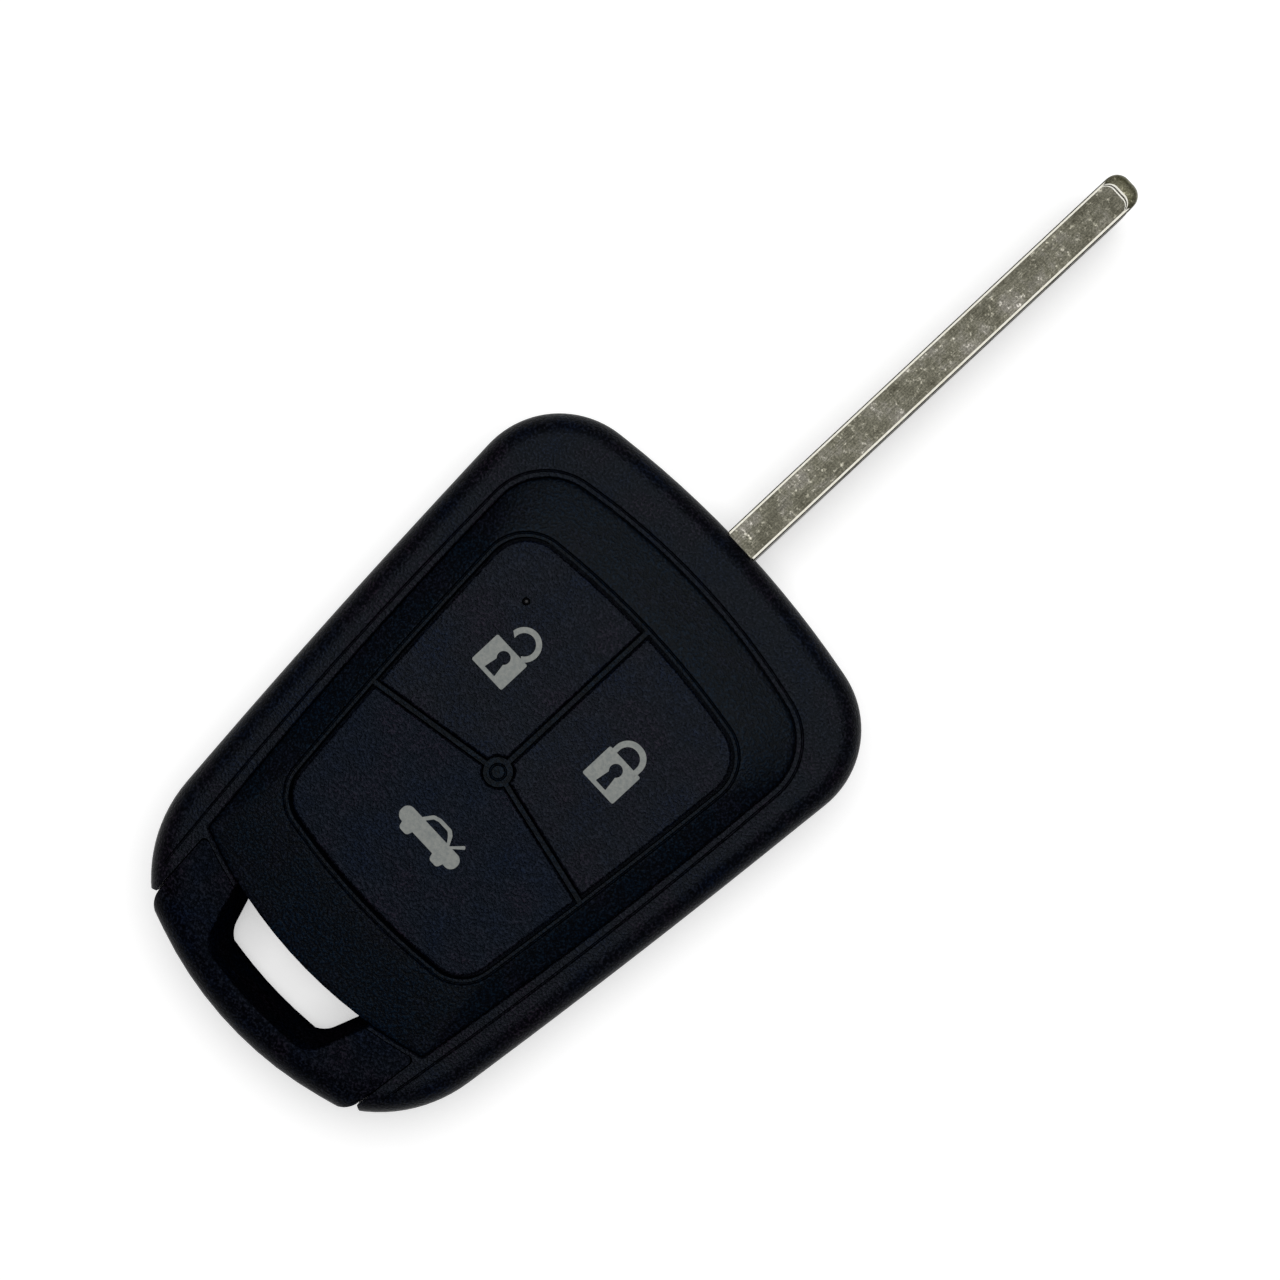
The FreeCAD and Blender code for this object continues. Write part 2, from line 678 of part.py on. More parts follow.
def board_key(side, gap):
    """Rib that stands in the notch of the board's edge, or the notch."""
    half = KEY_LENGTH / 2 + gap
    return block(post_reach(side, POST_FRONT_Y, KEY_DEPTH + gap, POST_GAP),
                 (POST_FRONT_Y - half, POST_FRONT_Y + half), (BOARD_Z - FIT, board_top + gap))


def make_circuit_board():
    board = polygon_prism(board_outline(BOARD_FRONT, 0), BOARD_Z, board_top)
    return board.cut(board_key(-1, KEY_GAP)).cut(board_key(1, KEY_GAP))


def make_keypad_mat():
    mat = polygon_prism(board_outline(BOARD_FRONT, 0), switch_top, ledge_under_z)
    room = board_outline(HUB_TO_FRONT, MAT_RIM)
    mat = mat.cut(polygon_prism(room, switch_top + MAT_THICKNESS, RIM_Z))
    hole = STEM_SIZE + 2 * MAT_HOLE_GAP
    for place in switch_places.values():
        mat = mat.cut(centred_block(place, (hole, hole), 0, RIM_Z))
    hole = PIPE_FOOT_SIZE + 2 * MAT_HOLE_GAP
    return mat.cut(centred_block((LED_X, LED_Y), (hole, hole), 0, RIM_Z))


def make_status_led():
    return centred_block((LED_X, LED_Y), LED_SIZE, board_top, board_top + LED_HEIGHT)


def make_light_pipe():
    foot_z = board_top + LED_HEIGHT
    foot_size = (PIPE_FOOT_SIZE, PIPE_FOOT_SIZE)
    foot = centred_block((LED_X, LED_Y), foot_size, foot_z, foot_z + PIPE_FOOT_HEIGHT)
    pipe = rod(LED_X, LED_Y, foot_z, button_z - PIPE_DROP, PIPE_RADIUS)
    return foot.fuse(pipe).removeSplitter()


def make_remote_chip():
    low = board_top + CHIP_STAND
    chip = centred_block((0, CHIP_Y), CHIP_SIZE, low, low + CHIP_HEIGHT)
    chip = chip.makeChamfer(CHIP_BEVEL, edges_at(chip, low + CHIP_HEIGHT))
    lead_size = (CHIP_LEAD_WIDTH, CHIP_SIZE[1] + 2 * CHIP_LEAD_REACH)
    for number in range(CHIP_LEADS):
        x = (number - (CHIP_LEADS - 1) / 2) * CHIP_LEAD_PITCH
        chip = chip.fuse(centred_block((x, CHIP_Y), lead_size, board_top, board_top + CHIP_LEAD_HEIGHT))
    return chip.removeSplitter()


def make_radio_crystal():
    top = board_top + CRYSTAL_HEIGHT
    crystal = centred_block(CRYSTAL_PLACE, CRYSTAL_SIZE, board_top, top)
    return crystal.makeChamfer(CRYSTAL_BEVEL, edges_at(crystal, top))


def make_chip_capacitors():
    top = board_top + CAPACITOR_HEIGHT
    chips = [centred_block(place, CAPACITOR_SIZE, board_top, top) for place in CAPACITOR_PLACES]
    return Part.makeCompound(chips)


def make_transponder_coil():
    low = BOARD_Z - COIL_HEIGHT
    cheek_x = (COIL_LENGTH - COIL_CHEEK) / 2
    winding_size = (COIL_LENGTH - COIL_CHEEK, COIL_WIDTH - 2 * COIL_STEP)
    winding = centred_block((0, COIL_Y), winding_size, low + COIL_STEP, BOARD_Z - COIL_STEP)
    long_edges = [edge for edge in winding.Edges if edge.BoundBox.XLength > COIL_WIDTH]
    winding = winding.makeChamfer(COIL_BEVEL, long_edges)
    for side in (-1, 1):
        cheek = centred_block((side * cheek_x, COIL_Y), (COIL_CHEEK, COIL_WIDTH), low, BOARD_Z)
        winding = winding.fuse(cheek)
    return winding.removeSplitter()


# Coin cell

def make_battery():
    top = cell_z + CELL_HEIGHT
    can_top = top - CELL_CAP_HEIGHT
    can = rod(0, CELL_Y, cell_z, can_top, CELL_RADIUS)
    return can.fuse(rod(0, CELL_Y, can_top - FIT, top, CELL_CAP_RADIUS)).removeSplitter()


def strip(profile, width):
    """Bent strip over the cell's middle line from its (x, z) profile."""
    spots = [V(x, CELL_Y - width / 2, z) for x, z in profile]
    wire = Part.makePolygon(spots + spots[:1])
    return Part.Face(wire).extrude(V(0, width, 0))


def make_battery_negative_contact():
    low = cell_z + CELL_HEIGHT
    pad, bend, foot = CONTACT_RUNS
    return strip([
        (-pad, low), (pad, low), (bend, BOARD_Z - CONTACT_LEAF), (foot, BOARD_Z - CONTACT_LEAF),
        (foot, BOARD_Z), (bend, BOARD_Z), (pad, low + CONTACT_LEAF), (-pad, low + CONTACT_LEAF),
    ], CONTACT_WIDTH)


def make_battery_positive_clip():
    inner = CELL_RADIUS + STRAP_GAP
    outer = inner + STRAP
    foot = outer + STRAP_FOOT
    low = cell_z - STRAP
    return strip([
        (-foot, BOARD_Z), (-foot, BOARD_Z - STRAP), (-outer, BOARD_Z - STRAP), (-outer, low),
        (outer, low), (outer, BOARD_Z - STRAP), (foot, BOARD_Z - STRAP), (foot, BOARD_Z),
        (inner, BOARD_Z), (inner, cell_z), (-inner, cell_z), (-inner, BOARD_Z),
    ], STRAP_WIDTH)


# Blade

def blade_profile(low_y, tip_y, low_z, high_z, tip_round, half_thickness):
    """Flat bar seen from its flat side, with rounded corners at the tip."""
    near_low = V(-half_thickness, low_y, low_z)
    near_high = V(-half_thickness, low_y, high_z)
    side = tip_round * (1 - math.sqrt(0.5))
    high_start = V(-half_thickness, tip_y - tip_round, high_z)
    high_middle = V(-half_thickness, tip_y - side, high_z - side)
    high_end = V(-half_thickness, tip_y, high_z - tip_round)
    low_start = V(-half_thickness, tip_y, low_z + tip_round)
    low_middle = V(-half_thickness, tip_y - side, low_z + side)
    low_end = V(-half_thickness, tip_y - tip_round, low_z)
    edges = [
        Part.LineSegment(near_low, near_high).toShape(),
        Part.LineSegment(near_high, high_start).toShape(),
        Part.Arc(high_start, high_middle, high_end).toShape(),
        Part.LineSegment(high_end, low_start).toShape(),
        Part.Arc(low_start, low_middle, low_end).toShape(),
        Part.LineSegment(low_end, near_low).toShape(),
    ]
    return Part.Face(Part.Wire(edges)).extrude(V(2 * half_thickness, 0, 0))


def make_blade():
    half = BLADE_THICKNESS / 2
    shoulder = cavity_front
    bar = blade_profile(shoulder, blade_tip, BLADE_Z, BLADE_Z + BLADE_HEIGHT, TIP_ROUND, half)
    sides = [edge for edge in bar.Edges if edge.BoundBox.XLength < 1e-4
             and edge.BoundBox.YMax > shoulder + 1]
    bar = bar.makeChamfer(BLADE_BEVEL, sides)
    plan = prism([
        (-half, shoulder - 1, 0.01), (half, shoulder - 1, 0.01),
        (half, blade_tip, TIP_PLAN_ROUND), (-half, blade_tip, TIP_PLAN_ROUND),
    ], 0, RIM_Z)
    bar = bar.common(plan)
    track_low = blade_middle_z - TRACK_WIDTH / 2
    floor = half - TRACK_DEPTH
    start = HUB_TO_FRONT + TRACK_START
    for side in (-1, 1):
        across = (floor, half + 1) if side > 0 else (-half - 1, -floor)
        groove = block(across, (start, blade_tip + 1), (track_low, track_low + TRACK_WIDTH))
        bar = bar.cut(groove)
        for number, offset in enumerate(TRACK_CUTS):
            middle_y = start + TRACK_PITCH * (number + 0.5)
            middle_z = blade_middle_z + offset * side
            cut = Part.makeCylinder(TRACK_CUT_RADIUS, across[1] - across[0],
                                    V(across[0], middle_y, middle_z), ALONG_X)
            bar = bar.cut(cut)
    tang = block((-half, half), (tang_end, shoulder + 1), (tang_z, tang_z + TANG_HEIGHT))
    blade = bar.fuse(tang)
    return blade.cut(cross_pin(PIN_RADIUS + PIN_GAP, BLADE_THICKNESS)).removeSplitter()


def cross_pin(radius, reach):
    """Pin through the tang from side to side, or the bore for it."""
    end = V(-reach, tang_end + PIN_INSET, blade_middle_z)
    return Part.makeCylinder(radius, 2 * reach, end, ALONG_X)


def carrier_front():
    """Front face of the carrier, clear of the crowned inside of the front wall."""
    radius = FRONT_CROWN - SIDE_WALL
    return cavity_front - FIT - radius + math.sqrt(radius ** 2 - (CARRIER_WIDTH / 2) ** 2)


def make_blade_carrier():
    half = CARRIER_WIDTH / 2
    top = ledge_under_z
    front = carrier_front()
    carrier = block((-half, half), (carrier_end, front), (REAR_WALL, top))
    upright = [edge for edge in carrier.Edges if edge.BoundBox.ZLength > 1]
    carrier = carrier.makeChamfer(CARRIER_CORNER, upright)
    slot = block((-tang_slot_half, tang_slot_half), (tang_end, cavity_front + 1),
                 (tang_z - FIT / 2, tang_z + TANG_HEIGHT + FIT / 2))
    carrier = carrier.cut(slot)
    pocket_in = tang_slot_half + CARRIER_WALL
    pocket_out = half - CARRIER_WALL
    for side in (-1, 1):
        across = sorted((side * pocket_in, side * pocket_out))
        pocket = block(across, (carrier_end + CARRIER_WALL, front - CARRIER_WALL),
                       (REAR_WALL + CARRIER_WALL, top + 1))
        carrier = carrier.cut(pocket)
    return carrier.cut(cross_pin(PIN_RADIUS + PIN_GAP, pocket_in)).removeSplitter()


def make_blade_pin():
    return cross_pin(PIN_RADIUS, tang_slot_half + CARRIER_WALL - PIN_SUNK)


# Parts

parts = {
    "front_shell": make_front_shell(),
    "front_panel": make_front_panel(),
    "keyring_loop": make_keyring_loop(),
    "rear_cover": make_rear_cover(),
    "keypad_mat": make_keypad_mat(),
    "circuit_board": make_circuit_board(),
    "status_led": make_status_led(),
    "light_pipe": make_light_pipe(),
    "remote_chip": make_remote_chip(),
    "radio_crystal": make_radio_crystal(),
    "chip_capacitors": make_chip_capacitors(),
    "transponder_coil": make_transponder_coil(),
    "battery": make_battery(),
    "battery_negative_contact": make_battery_negative_contact(),
    "battery_positive_clip": make_battery_positive_clip(),
    "blade": make_blade(),
    "blade_carrier": make_blade_carrier(),
    "blade_pin": make_blade_pin(),
}
for name in switch_places:
    parts[name + "_button"] = make_button(name)
    parts[name + "_plunger"] = make_plunger(name)
    parts[name + "_switch"] = make_switch(name)

os.makedirs("parts", exist_ok=True)
for name, shape in parts.items():
    box = shape.BoundBox
    print(f"{name}: {len(shape.Solids)} solid, volume {shape.Volume:.2f}, valid {shape.isValid()}, "
          f"x {box.XMin:.2f} {box.XMax:.2f}, y {box.YMin:.2f} {box.YMax:.2f}, "
          f"z {box.ZMin:.2f} {box.ZMax:.2f}")
    shape.exportStep(f"parts/{name}.step")
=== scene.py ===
import bmesh
import bpy
import json
import math
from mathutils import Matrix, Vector

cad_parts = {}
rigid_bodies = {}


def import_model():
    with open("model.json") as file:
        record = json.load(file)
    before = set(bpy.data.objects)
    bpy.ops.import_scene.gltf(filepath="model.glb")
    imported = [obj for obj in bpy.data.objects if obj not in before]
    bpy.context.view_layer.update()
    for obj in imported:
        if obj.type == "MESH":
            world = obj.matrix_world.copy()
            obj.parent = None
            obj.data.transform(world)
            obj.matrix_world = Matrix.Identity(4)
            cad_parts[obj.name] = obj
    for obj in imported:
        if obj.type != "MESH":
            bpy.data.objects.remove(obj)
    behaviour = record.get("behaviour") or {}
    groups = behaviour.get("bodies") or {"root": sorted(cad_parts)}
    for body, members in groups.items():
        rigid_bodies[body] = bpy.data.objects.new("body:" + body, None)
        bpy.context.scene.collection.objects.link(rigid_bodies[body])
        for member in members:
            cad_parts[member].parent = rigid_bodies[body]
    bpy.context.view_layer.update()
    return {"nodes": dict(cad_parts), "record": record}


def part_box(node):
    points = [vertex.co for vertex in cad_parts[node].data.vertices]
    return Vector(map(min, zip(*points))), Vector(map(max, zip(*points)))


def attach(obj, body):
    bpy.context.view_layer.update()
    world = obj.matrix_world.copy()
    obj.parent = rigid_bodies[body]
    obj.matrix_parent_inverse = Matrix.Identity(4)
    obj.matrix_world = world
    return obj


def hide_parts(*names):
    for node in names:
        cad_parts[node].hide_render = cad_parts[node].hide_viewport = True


# A remote car key with a fixed blade. Sizes are written in millimetres and turned into metres where a
# piece is made. Outlines are corner points (x, y, radius), joined by straight runs and tangent arcs.
# The hub between the three buttons lies over x = y = 0, and the blade points along +Y.

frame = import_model()

MM = 0.001

# Levels and the blade's tip
PARTING_Z = 6.0
RIM_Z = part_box("front_shell")[1].z / MM
PLATEAU_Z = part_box("front_panel")[1].z / MM
LEDGE_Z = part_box("front_panel")[0].z / MM
BUTTON_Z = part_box("boot_button")[1].z / MM
LOOP_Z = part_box("keyring_loop")[1].z / MM
BLADE_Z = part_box("blade")[0].z / MM
BLADE_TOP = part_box("blade")[1].z / MM
BLADE_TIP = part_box("blade")[1].y / MM

# Case: outline
HALF_WIDTH = 18.36          # at the hub
FLANK_TAPER = 0.0915
FLANK_BOW = 0.49
CASE_FRONT = 26.85
CASE_HEEL = -30.16
FRONT_CROWN = 84.3
FRONT_CORNER = 7.9
HEEL_CROWN = 60.0
HEEL_CORNER = 12.1
LEG_BOW = 1.1
LEG_TIP_Y = -26.75
LEG_TIP_SLOPE = 35.0

# Case: walls and edges
SIDE_WALL = 1.6
HEEL_WALL = 1.15
REAR_WALL = 1.3
CAVITY_FRONT = CASE_FRONT - SIDE_WALL
CAVITY_HEEL_CORNER = 2.3
FRONT_ROUND = 2.1
BACK_ROUND = 2.7
SEAM_CHAMFER = 0.15
TONGUE_THICKNESS = 0.6
TONGUE_HEIGHT = 1.0
LEDGE_WIDTH = 0.9
LEDGE_THICKNESS = 1.0
FIT = 0.06                  # clearance between moulded pieces that seat in each other

# Face panel
PANEL_FRONT = 21.7
PANEL_HEEL = -22.25
RIM_SIDE = 3.88             # rim between the case's flank and the panel
PANEL_BOW = 0.744
PANEL_FRONT_CROWN = 59.0
PANEL_FRONT_CORNER = 5.17
PANEL_HEEL_CROWN = 39.4
PANEL_HEEL_CORNER = 0.4
PANEL_EDGE_Z = RIM_Z - 0.1
PANEL_EDGE = ((0, 0.09), (0.006, 0.04), (0.02, 0))      # share of the crown, and drop below PANEL_EDGE_Z
CROWN_STEPS = 16
CROWN_FULLNESS = 1.1        # 1 is a straight slope from the edge to the plateau
PANEL_GAP = 0.1
SEAT_EDGE = (0.08, 0.1)     # width and height of the chamfer round the panel's seat

# Button window and web
WINDOW_FRONT = 16.4
WINDOW_HEEL = -15.1
WINDOW_SIDE = 6.27          # from the case's flank to the window
WINDOW_BOW = 0.344
WINDOW_FRONT_CROWN = 72.0
WINDOW_FRONT_CORNER = 3.7
WINDOW_HEEL_CROWN = 57.0
WINDOW_HEEL_CORNER = 3.35
SPOKE_ANGLES = (90.0, 190.8, 349.2)
SPOKE_WIDTH = 0.37
SPOKE_REACH = 45.0          # passes the window, and is cut to it
HUB_RADIUS = 1.2
HUB_RING_RADIUS = 0.62
HUB_SIDES = 72
WEB_DROP = 0.08             # web below the plateau
WEB_LIFT = 0.01             # undersides of the spokes and the hub, apart from each other and the ledge

# Buttons
BUTTON_GAP = 0.3            # window to button
SPOKE_GAP = 0.13            # web to button
BUTTON_EDGE = 0.2
BUTTON_EDGE_STEPS = 5
FLANGE_WIDTH = 0.5          # retaining flange under the panel, beyond the window
FLANGE_Z = 10.1
FLANGE_TOP = 10.8
FLANGE_PARTING = 0.15       # flange to the middle of a spoke
STEM_SIZE = (2.4, 2.4)
STEM_Z = 8.95
STEM_TOP = 10.2
STEM_PLACES = {"unlock": (-6.4, 7.0), "lock": (6.4, 7.0), "boot": (0.0, -8.2)}
PINHOLE_PLACE = (-8.47, 11.0)
PINHOLE_RADIUS = 0.34
PINHOLE_TOOL_Z = 8.0        # lower end of the tool for the pinhole, below the flange
PIPE_RADIUS = 0.28
PIPE_DOME = 0.2
PIPE_DOME_STEPS = 6
END_ANGLE = 50.0            # edges sharper than this are the ends of a rod

# Keyring loop
CROSSBAR = 0.52             # rim strip between the panel and the loop
LOOP_REACH = 8.12           # panel heel to the end of the loop
LOOP_INSET = 4.13           # from the case's flank to the loop's side
LOOP_NECK_INSET = 4.9       # from the flank to the end of the neck's arc
LOOP_NECK_CORNER = 0.4
LOOP_CROWN = 31.5
LOOP_CORNER = 2.4
LOOP_END_CORNER = 3.6       # corner of the rounding that only the free end has
LOOP_BACK_ROUND = 1.3
LOOP_TOP_ROUND = 2.8
LOOP_GAP = 0.1              # loop to front shell
LOOP_REAR_GAP = 0.02        # loop to rear cover
LUG_ACROSS = 10.2
LUG_WIDTH = 3.2
LUG_LENGTH = 5.0
LUG_ROOT = 1.0              # end of a lug inside the loop
LUG_Z = 2.6
PEG_ALONG = 3.4             # loop's neck to the peg that holds a lug
PEG_SIZE = (1.8, 1.4)
PEG_TOP = 4.6

# Keyring slot
SLOT_HALF_WIDTH = 7.85
SLOT_LENGTH = 5.1
SLOT_FLANK = 19.3           # lean of the slot's sides
SLOT_NECK_INSET = 1.9       # from the slot's side to the end of the near side's arc
SLOT_NECK_CORNER = 0.1
SLOT_NECK_ROUNDING = 1.6    # added to the near corners for each millimetre that the slot is narrower
SLOT_CROWN = 38.0
SLOT_CORNER = 2.3
SLOT_NEAR_SHIFT = 0.25      # how far the near and the far side move for that millimetre
SLOT_FAR_SHIFT = 0.45
SLOT_SECTIONS = ((-0.6, 0), (0.5, 3.2), (0.5, 5.6), (0.1, 9.4))     # how much narrower at a height
SLOT_EDGE = (0.1, 0.12)     # width and height of the chamfer at the loop's top

# Blade
BLADE_HALF = 1.56           # half the thickness
BLADE_EDGE = ((0, 0.25), (0.3, 0.08), (0.34, 0))    # depth and inset: a steep bevel and a small shoulder
TIP_FACETS = ((0, 0), (0.02, 0.11), (0.06, 0.25), (0.09, 0.42), (0.2, 1.0))     # depth and reach
TIP_DEPTH = 1.2             # depth over which the tip rounds off below its facets
TIP_ROUNDING = (0.42, 0.53, 0.68, 0.86, 1.1, 1.4)   # depths of the levels that draw it
FLAT_END = BLADE_TIP - 1.98
VISIBLE_TIP = BLADE_TIP - 0.25
TIP_CORNER = 0.75           # corner radius at the flat's end, and what it gains over the first millimetre
TIP_CORNER_GAIN = 0.45
BLADE_FOOT = CAVITY_FRONT
TRACK_WIDTH = 2.2
TRACK_DEPTH = 0.7
TRACK_START = 7.0           # front edge of the case to the first cut
TRACK_PITCH = 7.6
TRACK_CUTS = (0.9, -0.63, -0.94, 0.7)       # each cut's stand-off from the middle
TRACK_CUT_RADIUS = 1.4
TOOL_REACH = 3.0            # side tools end this far from the blade's middle
MOUTH_TOOL_END = 28.0       # end of the tool for the blade's mouth, beyond the case
TANG_LENGTH = 7.0
TANG_HEIGHT = 6.4
TANG_ROOT = 0.75            # end of the tang inside the blade
TANG_INSET = 0.01           # tang's flats below the blade's
PIN_INSET = 3.8             # inner end of the tang to the pin
PIN_BORE = 1.02

# Inside the rear cover
CELL_Y = -8.0
NEST_FACES = (10.25, 11.2)  # inner and outer face of the ribs that centre the cell
NEST_LENGTH = 5.0
NEST_TOP = 3.8
NEST_ANGLES = (45, 135, 225, 315)
BOARD_Z = 6.2
BOARD_TOP = 7.0
POST_ROWS = (9.5, -11.5)
POST_WIDTH = 2.6            # inner side wall to the inner side of a post
POST_LENGTH = 3.0
POST_GAP = 0.1
KEY_DEPTH = 1.5             # inner side wall to the bottom of the board's notch
KEY_LENGTH = 1.6

# Fine lines
LINE_WIDTH = 0.26
LINE_DEPTH = 0.28
LINE_FLOOR = 0.01           # half width of the line's floor
LIP_WIDTH = 0.22
BEAD_WIDTH = 0.5            # between the panel and the line down the legs

# Printed symbols. Their places are in units of the photo, and boxes are left, right, low and high.
PHOTO_SCALE = 12.45         # units to a millimetre
PRINT_PROUD = 0.012
PRINT_SUNK = 0.05
SYMBOL_CORNER = 2
CUT_CORNER = 0.5
KEYHOLE_RADIUS = 7          # also half the width of its foot
KEYHOLE_SIDES = 48
KEYHOLE_NECK = 4
KEYHOLE_OVERLAP = 2         # the slot's upper end below the round hole's middle
KEYHOLE_REACH = 0.9         # ends of the round cutter, inside the slot's, in millimetres
UNLOCK_BODY = (-101, -57.5, 58, 94)
UNLOCK_KEYHOLE = (-79.5, 82, 62.5)
UNLOCK_SHACKLE = (-75, 106, 17.8, 11.8)
UNLOCK_GAP = ((-98, 80, 0.5), (-66.5, 80, 0.5), (-66.5, 93.5, 0.5), (-72, 99, 3), (-84, 102, 0.5),
              (-98, 111, 0.5))
LOCK_BODY = (57.5, 101.5, 61.5, 100)
LOCK_KEYHOLE = (79.5, 87, 66)
LOCK_ARCH = (61, 97.5, 96, 122)
LOCK_ARCH_ROUND = 17.5
LOCK_HOLLOW = (67, 91.5, 90, 115.5)
LOCK_HOLLOW_ROUND = 11.8
ARCH_FOOT_ROUND = 1
CAR_BODY = ((-39, -86, 8), (-39, -103.5, 8.2), (41, -103.5, 8.2), (41, -86, 8))
CAR_ROOF = ((-20, -88, 0.5), (-12, -76, 5), (-4, -73.3, 6), (11, -73.3, 6), (16, -77, 4), (22, -88, 0.5))
CAR_WINDOW = ((-14, -86, 0.5), (-9, -79, 3), (-4, -77.3, 4), (9, -77.3, 4), (12.5, -80, 3),
              (17.5, -86, 0.5))
CAR_LID = ((20.5, -87, 0.4), (24, -87, 0.4), (34.5, -77, 1.3), (32, -74.2, 1.3))
WHEEL_PLACES = (-22, 22)
WHEEL_TOP = (8, -102)       # half width and height
WHEEL_FOOT = (5.5, -110)
WHEEL_ROUND = 4

# Fineness of drawn outlines
ARC_STEP = math.radians(4)
SHORT_STEP = 0.03
LONG_STEP = 2.0
ROUND_STEPS = 9
FREE_FLANK = 0.95           # share of the flank between its corners that its bow takes
ROD_SIDES = 64
CROSS_SIDES = 56
FINE_SIDES = 32             # of the pinhole and the light pipe
SMOOTH_ANGLE = 35           # sharper edges stay sharp in the shading
BLADE_SMOOTH_ANGLE = 30
FLAT_WEIGHT = 100           # large faces decide the shading at their edges
SHARP = 0.01                # radius of a corner that looks sharp
OVERCUT = 1.0               # how far a cutting tool passes what it cuts
SAME_LEVEL = 0.001          # points this near in height are on one level
RING_GAP = 5e-6             # how far apart, in metres, a ring's two ends may lie when it is closed
JOIN_GAP = 2e-6             # points nearer than this, in metres, are one point

# Faces that take a second finish, painted shade or painted light
UPRIGHT = 0.8               # a normal's share along Z, below which a face counts as a wall
LEVEL = 0.998               # and from which it counts as level
SLOT_MARGIN = 1.0           # the slot's walls lie within this of its plain outline
TIP_START = FLAT_END - 0.5              # from here on the blade's edge takes the tip's painted highlight
TIP_SLOPE_START = FLAT_END - 0.2

# Finishes: features in millimetres, and linear colours
CLOUD_MM = 4.5
GRAIN_MM = 0.21
GRAIN_DEPTH_MM = 0.07
SPECK_TONES = [(0.2, 0.2, 0.2), (1.0, 1.0, 1.0), (7.0, 6.4, 4.6)]
DARK_TONES = [(0.0006, 0.0012, 0.0040), (0.0011, 0.0014, 0.0030), (0.0018, 0.0014, 0.0032)]
BLUE_TONES = [(0.0002, 0.0010, 0.0034), (0.0004, 0.0011, 0.0030), (0.0008, 0.0010, 0.0028)]
TARNISH_MM = 2.2
PIT_MM = 0.16
FLECK_MM = 0.45
SCRATCH_MM = (0.07, 2.5)    # width and length
PIT_TONES = [(0.45, 0.45, 0.42), (1.0, 1.0, 1.0), (1.7, 1.7, 1.7)]
FLECK_TONES = [(1.0, 1.0, 1.0), (3.6, 3.6, 3.8)]
SCRATCH_TONES = [(0.7, 0.7, 0.7), (1.3, 1.3, 1.3)]
PIT_DEPTH_MM = 0.012
SCRATCH_DEPTH_MM = 0.006
SCRATCH_STRENGTH = 0.5
BLADE_TONES = [(0.044, 0.042, 0.031), (0.078, 0.075, 0.058), (0.12, 0.114, 0.1)]
# the blade's worn metal in paler tones for the tip's end slope: painted light, brighter than the lamp leaves
# this slope
TIP_LIT_TONES = [(0.09, 0.088, 0.05), (0.15, 0.146, 0.09), (0.21, 0.2, 0.15)]

# Pieces inside the case: dark tone, pale tone, feature size, roughness, and metallic and shine if given
INNER_LOOKS = {
    "silicone": ((0.06, 0.06, 0.065), (0.09, 0.09, 0.095), 1.0, 0.8),
    "board_laminate": ((0.02, 0.13, 0.06), (0.035, 0.18, 0.08), 0.8, 0.35),
    "switch_plastic": ((0.035, 0.035, 0.035), (0.06, 0.06, 0.06), 0.3, 0.5),
    "plunger_plastic": ((0.45, 0.43, 0.37), (0.55, 0.53, 0.47), 0.3, 0.5),
    "led_plastic": ((0.75, 0.7, 0.55), (0.85, 0.8, 0.65), 0.3, 0.25),
    # near black in place of clear: painted shade of the pinhole round the light pipe
    "clear_plastic": ((0.002, 0.002, 0.003), (0.004, 0.004, 0.005), 0.3, 0.25, 0.0, 0.1),
    "chip_plastic": ((0.015, 0.015, 0.016), (0.026, 0.026, 0.027), 0.15, 0.55),
    "can_steel": ((0.5, 0.5, 0.48), (0.6, 0.6, 0.58), 0.2, 0.3, 1.0),
    "ceramic": ((0.38, 0.28, 0.18), (0.5, 0.37, 0.26), 0.1, 0.6),
    "coil_copper": ((0.45, 0.18, 0.07), (0.62, 0.28, 0.13), 0.12, 0.35, 1.0),
    "cell_steel": ((0.55, 0.55, 0.55), (0.66, 0.66, 0.66), 0.3, 0.28, 1.0),
    "contact_steel": ((0.55, 0.53, 0.45), (0.66, 0.64, 0.56), 0.3, 0.3, 1.0),
    "carrier_plastic": ((0.025, 0.025, 0.026), (0.04, 0.04, 0.042), 0.4, 0.5),
    "pin_steel": ((0.45, 0.45, 0.45), (0.58, 0.58, 0.58), 0.2, 0.25, 1.0),
}

# Floor, light and world, in metres
FLOOR_SIZE = 6
FLOOR_Z = -0.0002
FLOOR_LIFT = 0.4            # added for the camera, so that the lit floor is white
NEAR_FLOOR = 0.1            # the lit part of the floor ends here, away from the key
FAR_FLOOR = 0.6             # from here on the floor is white by itself
LIGHT_PLACE = Vector((-0.02, 0.115, 0.6))
LIGHT_AIM = Vector((0, 0.015, 0.005))
LIGHT_SIZE = 0.5
LIGHT_POWER = 3.4
WORLD_STRENGTH = 0.1

# Camera: it looks straight down, from a foot point beside the picture's middle, on the face at BUTTON_Z
CAMERA_HEIGHT = 205.0
CAMERA_FOOT = Vector((5.0, 17.0))
PICTURE_MIDDLE = Vector((0.03, 15.57))
PICTURE_TURN = math.radians(46.98)
PICTURE_WIDTH = 102.77


# Outlines

def flank(y, inset):
    """Half width of the case at y, less an inset."""
    return HALF_WIDTH + FLANK_TAPER * y - inset


def crown(apex, radius, reach, outward):
    """Peak and slope of the two tangent lines that hold an arc with its apex at y."""
    slope = math.asin(reach / radius)
    peak = apex + outward * radius * (1 / math.cos(slope) - 1)
    return peak, math.tan(slope)


def mirrored(half):
    """Full outline from its right half, whose first and last points lie on the middle line."""
    return half + [(-x, y, radius) for x, y, radius in reversed(half[1:-1])]


